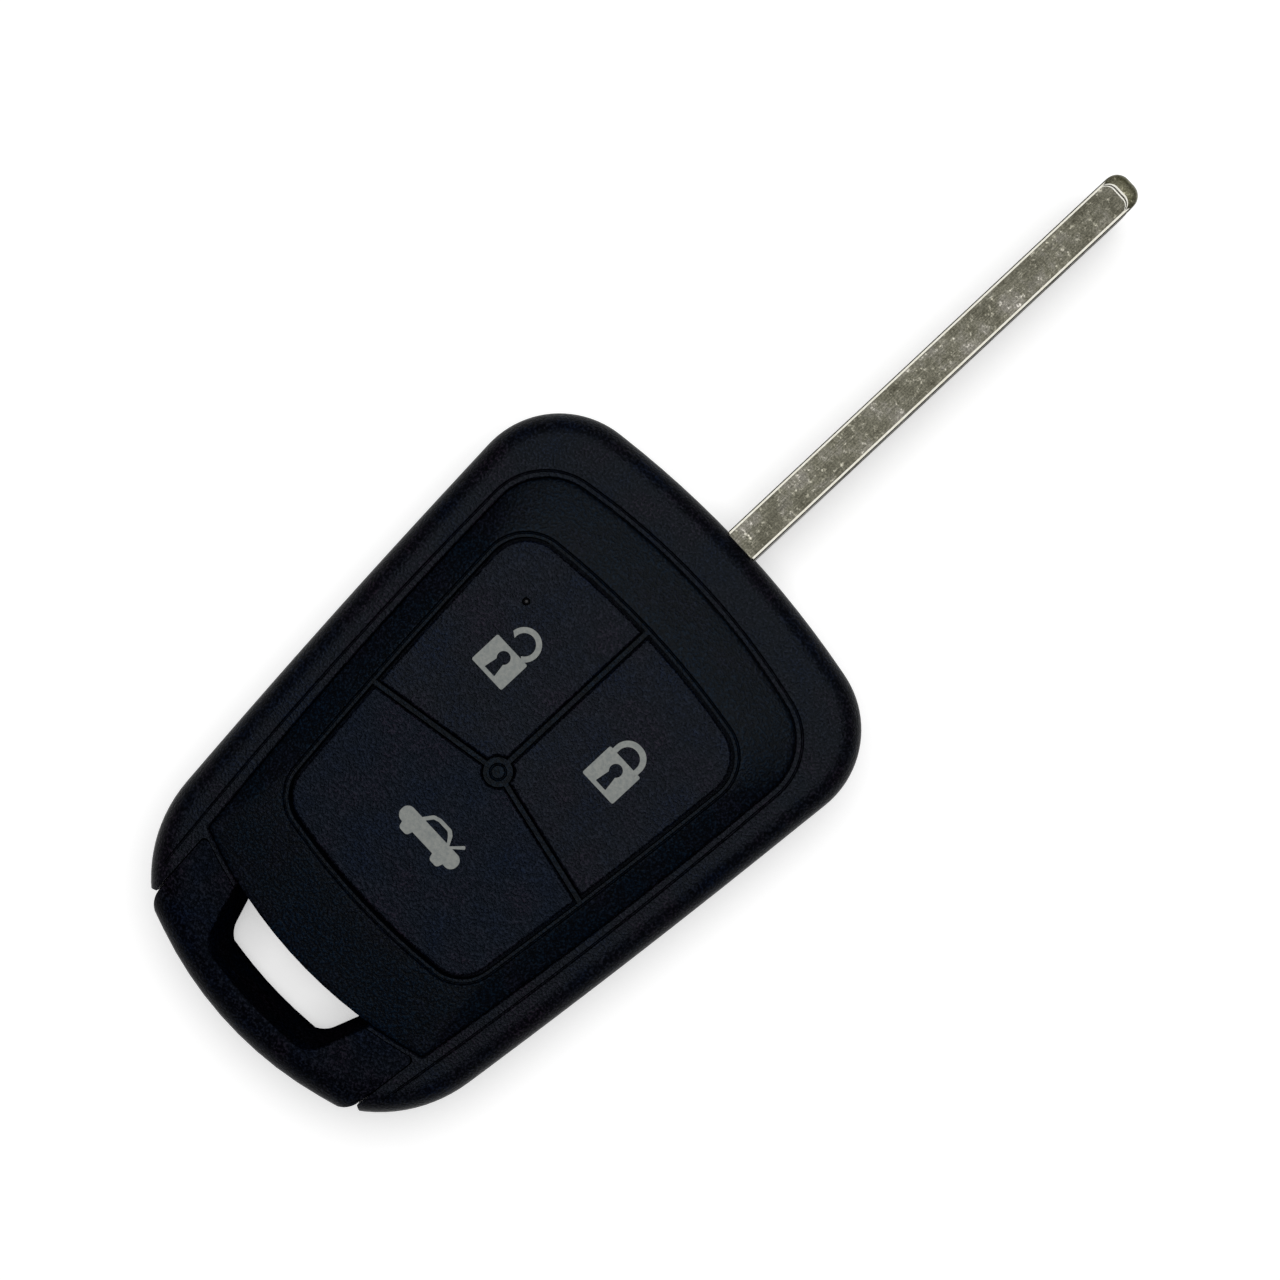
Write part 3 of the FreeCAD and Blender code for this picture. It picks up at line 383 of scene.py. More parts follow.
def case_line(front, heel, inset, bow, crowns, corners):
    """Outline with crowned ends and bowed flanks that follow the taper of the case."""
    front_peak, front_slope = crown(front, crowns[0], flank(front, inset) - corners[0], 1)
    heel_peak, heel_slope = crown(heel, crowns[1], flank(heel, inset) - corners[1], -1)
    front_x = flank(front_peak, inset) / (1 + FLANK_TAPER * front_slope)
    front_y = front_peak - front_x * front_slope
    heel_x = flank(heel_peak, inset) / (1 - FLANK_TAPER * heel_slope)
    heel_y = heel_peak + heel_x * heel_slope
    half_flank = (front_y - heel_y) / 2
    free_flank = FREE_FLANK * (half_flank - max(corners))
    return mirrored([
        (0, front_peak, crowns[0]),
        (front_x, front_y, corners[0]),
        ((front_x + heel_x) / 2 + bow, (front_y + heel_y) / 2, free_flank * half_flank / bow),
        (heel_x, heel_y, corners[1]),
        (0, heel_peak, crowns[1]),
    ])


def case_outline(inset):
    return case_line(CASE_FRONT - inset, CASE_HEEL + inset, inset, FLANK_BOW,
                     (FRONT_CROWN - inset, HEEL_CROWN), (FRONT_CORNER - inset, HEEL_CORNER - inset))


def cavity_outline(grow):
    wall = SIDE_WALL - grow
    return case_line(CAVITY_FRONT + grow, PANEL_HEEL + HEEL_WALL - grow, wall, FLANK_BOW,
                     (FRONT_CROWN - SIDE_WALL, PANEL_HEEL_CROWN),
                     (FRONT_CORNER - SIDE_WALL, CAVITY_HEEL_CORNER))


def panel_outline(grow):
    return case_line(PANEL_FRONT + grow, PANEL_HEEL - grow, RIM_SIDE - grow, PANEL_BOW,
                     (PANEL_FRONT_CROWN + grow, PANEL_HEEL_CROWN + grow),
                     (PANEL_FRONT_CORNER + grow, PANEL_HEEL_CORNER))


def window_outline(grow):
    return case_line(WINDOW_FRONT + grow, WINDOW_HEEL - grow, WINDOW_SIDE - grow, WINDOW_BOW,
                     (WINDOW_FRONT_CROWN, WINDOW_HEEL_CROWN),
                     (WINDOW_FRONT_CORNER + grow, WINDOW_HEEL_CORNER + grow))


def hub_outline(grow):
    """Ring line on the hub, as four corners rounded into a circle."""
    side = HUB_RING_RADIUS + grow
    return [(side * x, side * y, side - SHARP / 2) for x, y in ((-1, 1), (1, 1), (1, -1), (-1, -1))]


def leg_outline(grow):
    """Line outside the panel that runs on down both legs."""
    return case_line(PANEL_FRONT + grow, CASE_HEEL, RIM_SIDE - grow, LEG_BOW,
                     (PANEL_FRONT_CROWN + grow, HEEL_CROWN),
                     (PANEL_FRONT_CORNER + grow, PANEL_HEEL_CORNER))


def loop_outline(grow):
    """The loop, whose neck nests under the crossbar."""
    neck_radius = PANEL_HEEL_CROWN + CROSSBAR - grow
    neck_reach = flank(PANEL_HEEL, LOOP_NECK_INSET)
    neck_peak, neck_slope = crown(PANEL_HEEL - CROSSBAR + grow, neck_radius, neck_reach, -1)
    side = LOOP_INSET - grow
    end_y = PANEL_HEEL - LOOP_REACH
    end_peak, end_slope = crown(end_y, LOOP_CROWN, flank(end_y, side) - LOOP_CORNER, -1)
    neck_x = flank(neck_peak, side) / (1 - FLANK_TAPER * neck_slope)
    end_x = flank(end_peak, side) / (1 - FLANK_TAPER * end_slope)
    return mirrored([
        (0, neck_peak, neck_radius),
        (neck_x, neck_peak + neck_x * neck_slope, LOOP_NECK_CORNER),
        (end_x, end_peak + end_x * end_slope, LOOP_CORNER),
        (0, end_peak, LOOP_CROWN),
    ])


def loop_end_outline(inset):
    """The loop's crowned end, with sides that open out before they reach the legs."""
    corner_x = flank(PANEL_HEEL - SLOT_LENGTH, LOOP_INSET + inset)
    end_peak, end_slope = crown(PANEL_HEEL - LOOP_REACH + inset, LOOP_CROWN, corner_x - LOOP_CORNER, -1)
    corner_y = end_peak + corner_x * end_slope
    return [
        (corner_x + HALF_WIDTH, corner_y + HALF_WIDTH, LOOP_CORNER),
        (corner_x, corner_y, LOOP_END_CORNER),
        (0, end_peak, LOOP_CROWN),
        (-corner_x, corner_y, LOOP_END_CORNER),
        (-corner_x - HALF_WIDTH, corner_y + HALF_WIDTH, LOOP_CORNER),
    ]


def slot_outline(shrink):
    """The keyring slot, with rounder near corners where it is narrower."""
    narrowed = max(shrink, 0)
    near_x = SLOT_HALF_WIDTH - shrink
    near_y = PANEL_HEEL - SLOT_NEAR_SHIFT * narrowed
    near_peak, near_slope = crown(near_y, PANEL_HEEL_CROWN, near_x - SLOT_NECK_INSET, -1)
    far_x = near_x - SLOT_LENGTH * math.tan(math.radians(SLOT_FLANK))
    far_y = PANEL_HEEL - SLOT_LENGTH + SLOT_FAR_SHIFT * shrink
    far_peak, far_slope = crown(far_y, SLOT_CROWN, far_x - SLOT_CORNER, -1)
    return mirrored([
        (0, near_peak, PANEL_HEEL_CROWN),
        (near_x, near_peak + near_x * near_slope, SLOT_NECK_CORNER + SLOT_NECK_ROUNDING * narrowed),
        (far_x, far_peak + far_x * far_slope, SLOT_CORNER),
        (0, far_peak, SLOT_CROWN),
    ])


def blended(first, second, share):
    """Outline part of the way from one to another with as many corners."""
    mixed = []
    for a, b in zip(first, second):
        mixed.append(tuple(p + (q - p) * share for p, q in zip(a, b)))
    return mixed


def rounded_top(radius, z):
    """Levels (inset, height) that round an upper edge, from the side up to the face at z."""
    levels = []
    for step in range(ROUND_STEPS + 1):
        angle = math.pi / 2 * step / ROUND_STEPS
        levels.append((radius * (1 - math.cos(angle)), z - radius * (1 - math.sin(angle))))
    return levels


def rounded_bottom(radius, z):
    """Levels that round a lower edge, from the face at z up to the side."""
    return [(inset, 2 * z - height) for inset, height in reversed(rounded_top(radius, z))]


# Drawing and carving

def select_only(piece):
    """Leaves one piece selected and active."""
    bpy.ops.object.select_all(action="DESELECT")
    piece.select_set(True)
    bpy.context.view_layer.objects.active = piece


def new_piece(name):
    """Empty piece, in edit mode."""
    bpy.ops.object.select_all(action="DESELECT")
    bpy.ops.mesh.primitive_plane_add(size=MM)
    piece = bpy.context.active_object
    piece.name = name
    piece.data.name = name
    bpy.ops.object.mode_set(mode="EDIT")
    bpy.ops.mesh.select_all(action="SELECT")
    bpy.ops.mesh.delete(type="VERT")
    return piece


def settled():
    """Puts the active piece's place, turn and scale into its mesh."""
    bpy.ops.object.transform_apply(location=True, rotation=True, scale=True)
    return bpy.context.active_object


def select_heights(piece, *heights):
    """Selects the points at the given heights in edit mode, and the edges and faces between."""
    bpy.ops.mesh.select_mode(type="VERT")
    bpy.ops.mesh.select_all(action="DESELECT")
    mesh = bmesh.from_edit_mesh(piece.data)
    for vertex in mesh.verts:
        vertex.select_set(any(abs(vertex.co.z / MM - height) < SAME_LEVEL for height in heights))
    mesh.select_flush(True)
    bmesh.update_edit_mesh(piece.data)


def arc_plan(points):
    """Where each corner's arc starts, its centre, its end, and its turn, counter-clockwise positive."""
    plan = []
    for number, (x, y, radius) in enumerate(points):
        spot = Vector((x, y))
        back = (Vector(points[number - 1][:2]) - spot).normalized()
        ahead = (Vector(points[(number + 1) % len(points)][:2]) - spot).normalized()
        half_angle = back.angle(ahead) / 2
        reach = radius / math.tan(half_angle)
        centre = spot + (back + ahead).normalized() * radius / math.sin(half_angle)
        turn = math.pi - 2 * half_angle
        if back.x * ahead.y - back.y * ahead.x > 0:
            turn = -turn
        plan.append((spot + back * reach, centre, spot + ahead * reach, turn))
    return plan


def arc_counts(points):
    """How many steps each corner's arc is drawn in."""
    counts = []
    for (start, centre, end, turn), point in zip(arc_plan(points), points):
        length = abs(turn) * point[2]
        fine = min(abs(turn) / ARC_STEP, length / SHORT_STEP)
        counts.append(math.ceil(max(fine, length / LONG_STEP)))
    return counts


def draw_ring(points, counts, z):
    """Draws an outline into the piece in edit mode, as a closed ring of edges at one height."""
    plan = arc_plan(points)
    first = plan[0][0]
    bpy.ops.mesh.primitive_plane_add(size=MM, location=(first.x * MM, first.y * MM, z * MM))
    bpy.ops.mesh.merge(type="CENTER")
    for number, (start, centre, end, turn) in enumerate(plan):
        bpy.ops.mesh.spin(
            steps=counts[number], angle=-turn, center=(centre.x * MM, centre.y * MM, z * MM), axis=(0, 0, 1),
        )
        following = plan[(number + 1) % len(plan)][0]
        run = (following - end) * MM
        bpy.ops.mesh.extrude_vertices_move(TRANSFORM_OT_translate={"value": (run.x, run.y, 0)})
    bpy.ops.mesh.select_linked()
    bpy.ops.mesh.remove_doubles(threshold=RING_GAP)


def close_piece(piece, *ends):
    """Fills the open ends at the given heights and turns all faces outwards."""
    for z in ends:
        select_heights(piece, z)
        bpy.ops.mesh.edge_face_add()
    bpy.ops.mesh.select_all(action="SELECT")
    bpy.ops.mesh.normals_make_consistent(inside=False)
    bpy.ops.object.mode_set(mode="OBJECT")


def stack(name, outline, levels):
    """Solid through an outline's (inset, height) levels."""
    piece = new_piece(name)
    counts = arc_counts(outline(levels[0][0]))
    for number, (inset, z) in enumerate(levels):
        draw_ring(outline(inset), counts, z)
        if number:
            select_heights(piece, levels[number - 1][1], z)
            bpy.ops.mesh.bridge_edge_loops()
    close_piece(piece, levels[0][1], levels[-1][1])
    return piece


def prism(points, low, high):
    """Upright solid of an outline between two heights."""
    return stack("prism", lambda inset: points, [(0, low), (0, high)])


def block(x, y, z):
    """Box from three (low, high) pairs."""
    bpy.ops.object.select_all(action="DESELECT")
    middle = [(low + high) / 2 * MM for low, high in (x, y, z)]
    size = [(high - low) * MM for low, high in (x, y, z)]
    bpy.ops.mesh.primitive_cube_add(size=1, location=middle, scale=size)
    return settled()


def centred_block(middle, size, low, high):
    """Box over a middle point (x, y), between two heights."""
    x, y = middle
    return block((x - size[0] / 2, x + size[0] / 2), (y - size[1] / 2, y + size[1] / 2), (low, high))


def cylinder(middle, radius, length, sides, turn=0.0):
    """Cylinder about its middle, upright unless it is turned about Y."""
    bpy.ops.object.select_all(action="DESELECT")
    bpy.ops.mesh.primitive_cylinder_add(
        vertices=sides, radius=radius * MM, depth=length * MM, rotation=(0, turn, 0),
        location=[value * MM for value in middle],
    )
    return settled()


def rod(x, y, low, high, radius, sides=ROD_SIDES):
    """Upright cylinder between two heights."""
    return cylinder((x, y, (low + high) / 2), radius, high - low, sides)


def cross_rod(across, y, z, radius):
    """Cylinder from side to side, between two values of X."""
    low, high = across
    return cylinder(((low + high) / 2, y, z), radius, high - low, CROSS_SIDES, math.pi / 2)


def turned(piece, angle):
    """Turns a piece round the hub, counter-clockwise in degrees."""
    select_only(piece)
    piece.rotation_euler.z = math.radians(angle)
    return settled()


def boolean(piece, tool, operation):
    """Changes a piece by a tool, which is used up."""
    select_only(piece)
    modifier = piece.modifiers.new(operation.lower(), "BOOLEAN")
    modifier.operation = operation
    modifier.solver = "EXACT"
    modifier.object = tool
    bpy.ops.object.modifier_apply(modifier=modifier.name)
    bpy.data.objects.remove(tool)
    return piece


def carve(piece, tool):
    return boolean(piece, tool, "DIFFERENCE")


def add(piece, tool):
    return boolean(piece, tool, "UNION")


def keep_common(piece, tool):
    return boolean(piece, tool, "INTERSECT")


def round_ends(piece, width, steps):
    """Small rounding on the end edges of a rod."""
    select_only(piece)
    modifier = piece.modifiers.new("ease", "BEVEL")
    modifier.width = width * MM
    modifier.segments = steps
    modifier.limit_method = "ANGLE"
    modifier.angle_limit = math.radians(END_ANGLE)
    modifier.miter_outer = "MITER_ARC"
    bpy.ops.object.modifier_apply(modifier=modifier.name)


def finish_surface(piece, angle=SMOOTH_ANGLE):
    """Closes hair-fine gaps, and shades smoothly up to an angle while flat faces stay flat."""
    select_only(piece)
    bpy.ops.object.mode_set(mode="EDIT")
    bpy.ops.mesh.select_all(action="SELECT")
    bpy.ops.mesh.remove_doubles(threshold=JOIN_GAP)
    bpy.ops.mesh.delete_loose(use_verts=True, use_edges=True, use_faces=False)
    bpy.ops.mesh.select_all(action="SELECT")
    bpy.ops.mesh.fill_holes(sides=4)
    bpy.ops.object.mode_set(mode="OBJECT")
    bpy.ops.object.shade_smooth_by_angle(angle=math.radians(angle))
    modifier = piece.modifiers.new("flat_faces", "WEIGHTED_NORMAL")
    modifier.keep_sharp = True
    modifier.weight = FLAT_WEIGHT
    bpy.ops.object.modifier_apply(modifier=modifier.name)


# Shared cuts

def leg_tip_cut():
    """Everything below the two leg tips, whose ends slope in towards the loop."""
    tip_x = flank(LEG_TIP_Y, LOOP_INSET)
    far = tip_x + HALF_WIDTH
    fall = (far - tip_x) * math.tan(math.radians(LEG_TIP_SLOPE))
    low = LEG_TIP_Y - fall - HALF_WIDTH
    half = [(tip_x, LEG_TIP_Y, SHARP), (far, LEG_TIP_Y - fall, SHARP), (far, low, SHARP)]
    points = half + [(-x, y, radius) for x, y, radius in reversed(half)]
    return prism(points, -OVERCUT, PLATEAU_Z + OVERCUT)


def slot_tool():
    """Room of the keyring slot, narrowest at half its height."""
    flare = SLOT_SECTIONS[0][0]
    width, height = SLOT_EDGE
    levels = [(flare, -OVERCUT), *SLOT_SECTIONS]
    levels += [(0, LOOP_Z - height), (-width, LOOP_Z), (-width, PLATEAU_Z + OVERCUT)]
    return stack("slot", slot_outline, levels)


def cut_for_loop(piece, gap):
    """Takes the room for the loop, the slot and the leg tips out of a case half."""
    carve(piece, prism(loop_outline(gap), -OVERCUT, PLATEAU_Z + OVERCUT))
    carve(piece, slot_tool())
    carve(piece, leg_tip_cut())


def cut_for_blade(piece):
    """Cuts the blade's mouth into the front wall of a case half."""
    half = BLADE_HALF + FIT
    along = (BLADE_FOOT - FIT, MOUTH_TOOL_END)
    carve(piece, block((-half, half), along, (BLADE_Z - FIT, BLADE_TOP + FIT)))


def groove(piece, outline, middle, z):
    """Fine V-shaped line sunk into a face along an outline."""
    half = LINE_WIDTH / 2
    low = z - LINE_DEPTH
    outside = [(LINE_FLOOR, low), (half, z), (half, z + OVERCUT)]
    inside = [(-LINE_FLOOR, low - OVERCUT), (-LINE_FLOOR, low), (-half, z), (-half, z + 2 * OVERCUT)]
    ring = stack("line", lambda shift: outline(middle + shift), outside)
    carve(ring, stack("line_inside", lambda shift: outline(middle + shift), inside))
    carve(piece, ring)


def lug_block(side, gap, top):
    """One of the two lugs that tie the loop into the case, or the room for it."""
    middle = side * LUG_ACROSS
    neck = PANEL_HEEL - CROSSBAR
    across = (middle - LUG_WIDTH / 2 - gap, middle + LUG_WIDTH / 2 + gap)
    return block(across, (neck - LUG_ROOT, neck + LUG_LENGTH + gap), (LUG_Z - gap, top))


def lug_peg(side, gap, top):
    """Peg of the rear cover that holds a lug, or the hole for it."""
    middle = (side * LUG_ACROSS, PANEL_HEEL - CROSSBAR + PEG_ALONG)
    return centred_block(middle, (PEG_SIZE[0] + 2 * gap, PEG_SIZE[1] + 2 * gap), REAR_WALL - FIT, top)


# Case

def make_front_shell():
    outer = [(SEAM_CHAMFER, PARTING_Z), (0, PARTING_Z + SEAM_CHAMFER)] + rounded_top(FRONT_ROUND, RIM_Z)
    ledge_under = LEDGE_Z - LEDGE_THICKNESS
    shell = stack("front_shell", case_outline, outer)
    carve(shell, prism(cavity_outline(0), PARTING_Z - OVERCUT, ledge_under))
    carve(shell, prism(panel_outline(-LEDGE_WIDTH), ledge_under - OVERCUT, LEDGE_Z + OVERCUT))
    wide = PANEL_GAP + SEAT_EDGE[0]
    seat = [(PANEL_GAP, LEDGE_Z), (PANEL_GAP, RIM_Z - SEAT_EDGE[1]), (wide, RIM_Z), (wide, RIM_Z + OVERCUT)]
    carve(shell, stack("panel_seat", panel_outline, seat))
    tongue_z = PARTING_Z - TONGUE_HEIGHT
    tongue = prism(cavity_outline(TONGUE_THICKNESS), tongue_z, PARTING_Z + FIT)
    carve(tongue, prism(cavity_outline(0), tongue_z - OVERCUT, PARTING_Z + OVERCUT))
    for side in (-1, 1):
        carve(tongue, lug_block(side, FIT, PARTING_Z + FIT))
    add(shell, tongue)
    cut_for_loop(shell, LOOP_GAP)
    cut_for_blade(shell)
    groove(shell, leg_outline, PANEL_GAP + BEAD_WIDTH, RIM_Z)
    finish_surface(shell)
    return shell


def beside_wall(side, y, depth):
    """X span beside a side wall at y, down to a depth from the wall."""
    wall = flank(y, SIDE_WALL)
    return sorted((side * (wall - depth), side * (wall - POST_GAP)))


def add_nest_ribs(cover):
    """Four ribs that centre the coin cell."""
    for angle in NEST_ANGLES:
        rib = block(NEST_FACES, (-NEST_LENGTH / 2, NEST_LENGTH / 2), (REAR_WALL - FIT, NEST_TOP))
        turned(rib, angle)
        rib.location.y = CELL_Y * MM
        add(cover, settled())


def add_posts(cover, side):
    """Two posts that carry the circuit board, and the key that stands in its notch."""
    half = POST_LENGTH / 2
    for y in POST_ROWS:
        across = beside_wall(side, y - half, POST_WIDTH)
        add(cover, block(across, (y - half, y + half), (REAR_WALL - FIT, BOARD_Z)))
    y = POST_ROWS[0]
    across = beside_wall(side, y - half, KEY_DEPTH)
    add(cover, block(across, (y - KEY_LENGTH / 2, y + KEY_LENGTH / 2), (BOARD_Z - FIT, BOARD_TOP)))


def make_rear_cover():
    outer = rounded_bottom(BACK_ROUND, 0) + [(0, PARTING_Z - SEAM_CHAMFER), (SEAM_CHAMFER, PARTING_Z)]
    cover = stack("rear_cover", case_outline, outer)
    carve(cover, prism(cavity_outline(0), REAR_WALL, PARTING_Z + OVERCUT))
    rebate = cavity_outline(TONGUE_THICKNESS + FIT)
    carve(cover, prism(rebate, PARTING_Z - TONGUE_HEIGHT - FIT, PARTING_Z + OVERCUT))
    cut_for_loop(cover, LOOP_REAR_GAP)
    add_nest_ribs(cover)
    for side in (-1, 1):
        add_posts(cover, side)
        carve(cover, lug_block(side, FIT, PARTING_Z + OVERCUT))
        add(cover, lug_peg(side, 0, PEG_TOP))
    cut_for_blade(cover)
    finish_surface(cover)
    return cover


def make_keyring_loop():
    loop = prism(loop_outline(0), 0, LOOP_Z)
    ends = rounded_bottom(LOOP_BACK_ROUND, 0) + rounded_top(LOOP_TOP_ROUND, LOOP_Z)
    keep_common(loop, stack("loop_end", loop_end_outline, ends))
    carve(loop, slot_tool())
    for side in (-1, 1):
        lug = lug_block(side, 0, PARTING_Z - FIT)
        carve(lug, lug_peg(side, FIT, PARTING_Z))
        add(loop, lug)
    finish_surface(loop)
    return loop


# Face panel and buttons

def spoke(angle, half_width, low, high):
    """One spoke of the web, or the room for it."""
    return turned(block((0, SPOKE_REACH), (-half_width, half_width), (low, high)), angle)


def make_front_panel():
    edge = panel_outline(0)
    lip = window_outline(LIP_WIDTH + LINE_WIDTH)
    rise = PLATEAU_Z - PANEL_EDGE_Z
    levels = [(0, LEDGE_Z)] + [(share, PANEL_EDGE_Z - drop) for share, drop in PANEL_EDGE]
    for step in range(1, CROWN_STEPS + 1):
        share = step / CROWN_STEPS
        levels.append((share, PANEL_EDGE_Z + rise * (1 - (1 - share) ** CROWN_FULLNESS)))
    panel = stack("front_panel", lambda share: blended(edge, lip, share), levels)
    carve(panel, prism(window_outline(0), LEDGE_Z - OVERCUT, PLATEAU_Z + OVERCUT))
    web_z = PLATEAU_Z - WEB_DROP
    for angle in SPOKE_ANGLES:
        arm = spoke(angle, SPOKE_WIDTH / 2, LEDGE_Z + WEB_LIFT, web_z)
        keep_common(arm, prism(window_outline(LIP_WIDTH / 2), LEDGE_Z - OVERCUT, PLATEAU_Z + OVERCUT))
        add(panel, arm)
    add(panel, rod(0, 0, LEDGE_Z + 2 * WEB_LIFT, web_z, HUB_RADIUS, HUB_SIDES))
    groove(panel, window_outline, LIP_WIDTH + LINE_WIDTH / 2, PLATEAU_Z)
    groove(panel, hub_outline, 0, web_z)
    finish_surface(panel)
    return panel


def web_room(half_width, hub_radius, low, high):
    """Room round the three spokes and the hub, as one solid."""
    room = rod(0, 0, low, high, hub_radius, HUB_SIDES)
    for angle in SPOKE_ANGLES:
        add(room, spoke(angle, half_width, low, high))
    return room


def three_sectors(name, points, low, high, half_width, hub_radius):
    """The three button shares of an outline, by the names of their buttons."""
    whole = prism(points, low, high)
    carve(whole, web_room(half_width, hub_radius, low - OVERCUT, high + OVERCUT))
    select_only(whole)
    whole.name = name
    bpy.ops.object.mode_set(mode="EDIT")
    bpy.ops.mesh.select_all(action="SELECT")
    bpy.ops.mesh.separate(type="LOOSE")
    bpy.ops.object.mode_set(mode="OBJECT")
    shares = {}
    for piece in list(bpy.context.selected_objects):
        middle = sum((vertex.co for vertex in piece.data.vertices), Vector()) / len(piece.data.vertices)
        if middle.y < 0:
            shares["boot"] = piece
        elif middle.x < 0:
            shares["unlock"] = piece
        else:
            shares["lock"] = piece
    return shares


def round_button_edge(cap):
    """Rounds the upper edge of a button's cap."""
    select_only(cap)
    bpy.ops.object.mode_set(mode="EDIT")
    bpy.ops.mesh.select_all(action="SELECT")
    bpy.ops.mesh.remove_doubles(threshold=JOIN_GAP)
    select_heights(cap, BUTTON_Z)
    bpy.ops.mesh.region_to_loop()
    bpy.ops.mesh.bevel(offset=BUTTON_EDGE * MM, offset_type="OFFSET", segments=BUTTON_EDGE_STEPS,
                       affect="EDGES", clamp_overlap=False)
    bpy.ops.object.mode_set(mode="OBJECT")


def make_buttons():
    caps = three_sectors("cap", window_outline(-BUTTON_GAP), FLANGE_Z, BUTTON_Z,
                         SPOKE_WIDTH / 2 + SPOKE_GAP, HUB_RADIUS + SPOKE_GAP)
    flanges = three_sectors("flange", window_outline(FLANGE_WIDTH), FLANGE_Z, FLANGE_TOP,
                            FLANGE_PARTING, HUB_RADIUS)
    for name, cap in caps.items():
        round_button_edge(cap)
        add(cap, flanges[name])
        add(cap, centred_block(STEM_PLACES[name], STEM_SIZE, STEM_Z, STEM_TOP))
        if name == "unlock":
            carve(cap, rod(*PINHOLE_PLACE, PINHOLE_TOOL_Z, PLATEAU_Z, PINHOLE_RADIUS, FINE_SIDES))
        finish_surface(cap)
    return caps


def make_light_pipe():
    """Light pipe with a domed tip, seen in the unlock button's pinhole."""
    low, high = [corner.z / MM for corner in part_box("light_pipe")]
    pipe = rod(*PINHOLE_PLACE, low, high, PIPE_RADIUS, FINE_SIDES)
    round_ends(pipe, PIPE_DOME, PIPE_DOME_STEPS)
    finish_surface(pipe)
    return pipe


# Blade

def looked_up(table, value):
    """Result for a value, in a table of rising (value, result) pairs."""
    for (low, first), (high, second) in zip(table, table[1:]):
        if value <= high:
            return first + (second - first) * (value - low) / (high - low)
    return table[-1][1]


def tip_reach(depth):
    """How far the blade's tip reaches beyond the flat's end at a depth below the flat."""
    edge_depth, edge_reach = TIP_FACETS[-1]
    if depth <= edge_depth:
        return looked_up(TIP_FACETS, depth)
    fall = min(1.0, (depth - edge_depth) / TIP_DEPTH)
    return edge_reach + (VISIBLE_TIP - FLAT_END - edge_reach) * math.sqrt(1 - (1 - fall) ** 2)


def blade_plan(depth):
    """Outline of the blade seen from the button side, at a depth below its flat."""
    half = BLADE_HALF - looked_up(BLADE_EDGE, depth)
    reach = tip_reach(depth)
    corner = TIP_CORNER + TIP_CORNER_GAIN * min(1.0, reach)
    tip = FLAT_END + reach
    return [(-half, BLADE_FOOT, SHARP), (half, BLADE_FOOT, SHARP), (half, tip, corner), (-half, tip, corner)]


def carve_track(blade, side, middle_z):
    """Guide track of one flat, with its four milled cuts."""
    start = CASE_FRONT + TRACK_START
    across = sorted((side * (BLADE_HALF - TRACK_DEPTH), side * TOOL_REACH))
    heights = (middle_z - TRACK_WIDTH / 2, middle_z + TRACK_WIDTH / 2)
    carve(blade, block(across, (start, BLADE_TIP + OVERCUT), heights))
    for number, offset in enumerate(TRACK_CUTS):
        y = start + TRACK_PITCH * (number + 0.5)
        carve(blade, cross_rod(across, y, middle_z + offset * side, TRACK_CUT_RADIUS))


def make_blade():
    depths = [depth for depth, reach in TIP_FACETS] + [depth for depth, inset in BLADE_EDGE[1:]]
    depths += TIP_ROUNDING
    levels = [(depth, BLADE_Z + depth) for depth in depths]
    levels += [(depth, BLADE_TOP - depth) for depth in reversed(depths)]
    blade = stack("blade", blade_plan, levels)
    middle_z = (BLADE_Z + BLADE_TOP) / 2
    for side in (-1, 1):
        carve_track(blade, side, middle_z)
    half = BLADE_HALF - TANG_INSET
    tang_end = BLADE_FOOT - TANG_LENGTH
    add(blade, block((-half, half), (tang_end, BLADE_FOOT + TANG_ROOT),
                     (middle_z - TANG_HEIGHT / 2, middle_z + TANG_HEIGHT / 2)))
    carve(blade, cross_rod((-TOOL_REACH, TOOL_REACH), tang_end + PIN_INSET, middle_z, PIN_BORE))
    finish_surface(blade, BLADE_SMOOTH_ANGLE)
    return blade


# Printed symbols

def symbol_prism(points, low, high):
    """Upright solid of an outline in units of the photo."""
    return prism([(x / PHOTO_SCALE, y / PHOTO_SCALE, radius / PHOTO_SCALE) for x, y, radius in points],
                 low, high)


def plate(points):
    """Thin printed plate of an outline, just proud of the button face."""
    return symbol_prism(points, BUTTON_Z - PRINT_SUNK, BUTTON_Z + PRINT_PROUD)


def cutter(points):
    return symbol_prism(points, BUTTON_Z - OVERCUT, BUTTON_Z + OVERCUT)


def arched(box, foot, top):
    """Outline of a box with one radius for its foot's corners and one for its top's."""
    left, right, low, high = box
    return [(left, low, foot), (right, low, foot), (right, high, top), (left, high, top)]


def photo_rod(x, y, low, high, radius, sides=ROD_SIDES):
    """Upright cylinder whose place and radius are in units of the photo."""
    return rod(x / PHOTO_SCALE, y / PHOTO_SCALE, low, high, radius / PHOTO_SCALE, sides)


def ring_plate(x, y, outer, inner):
    """Printed ring."""
    low = BUTTON_Z - PRINT_SUNK
    high = BUTTON_Z + PRINT_PROUD
    ring = photo_rod(x, y, low, high, outer)
    return carve(ring, photo_rod(x, y, low - OVERCUT, high + OVERCUT, inner))


def keyhole(x, y, foot):
    """Cutter for a keyhole: a round hole over a widening slot."""
    neck = y - KEYHOLE_OVERLAP
    slot = cutter([(x - KEYHOLE_RADIUS, foot, CUT_CORNER), (x + KEYHOLE_RADIUS, foot, CUT_CORNER),
                   (x + KEYHOLE_NECK, neck, CUT_CORNER), (x - KEYHOLE_NECK, neck, CUT_CORNER)])
    hole = photo_rod(x, y, BUTTON_Z - KEYHOLE_REACH, BUTTON_Z + KEYHOLE_REACH, KEYHOLE_RADIUS, KEYHOLE_SIDES)
    return add(slot, hole)


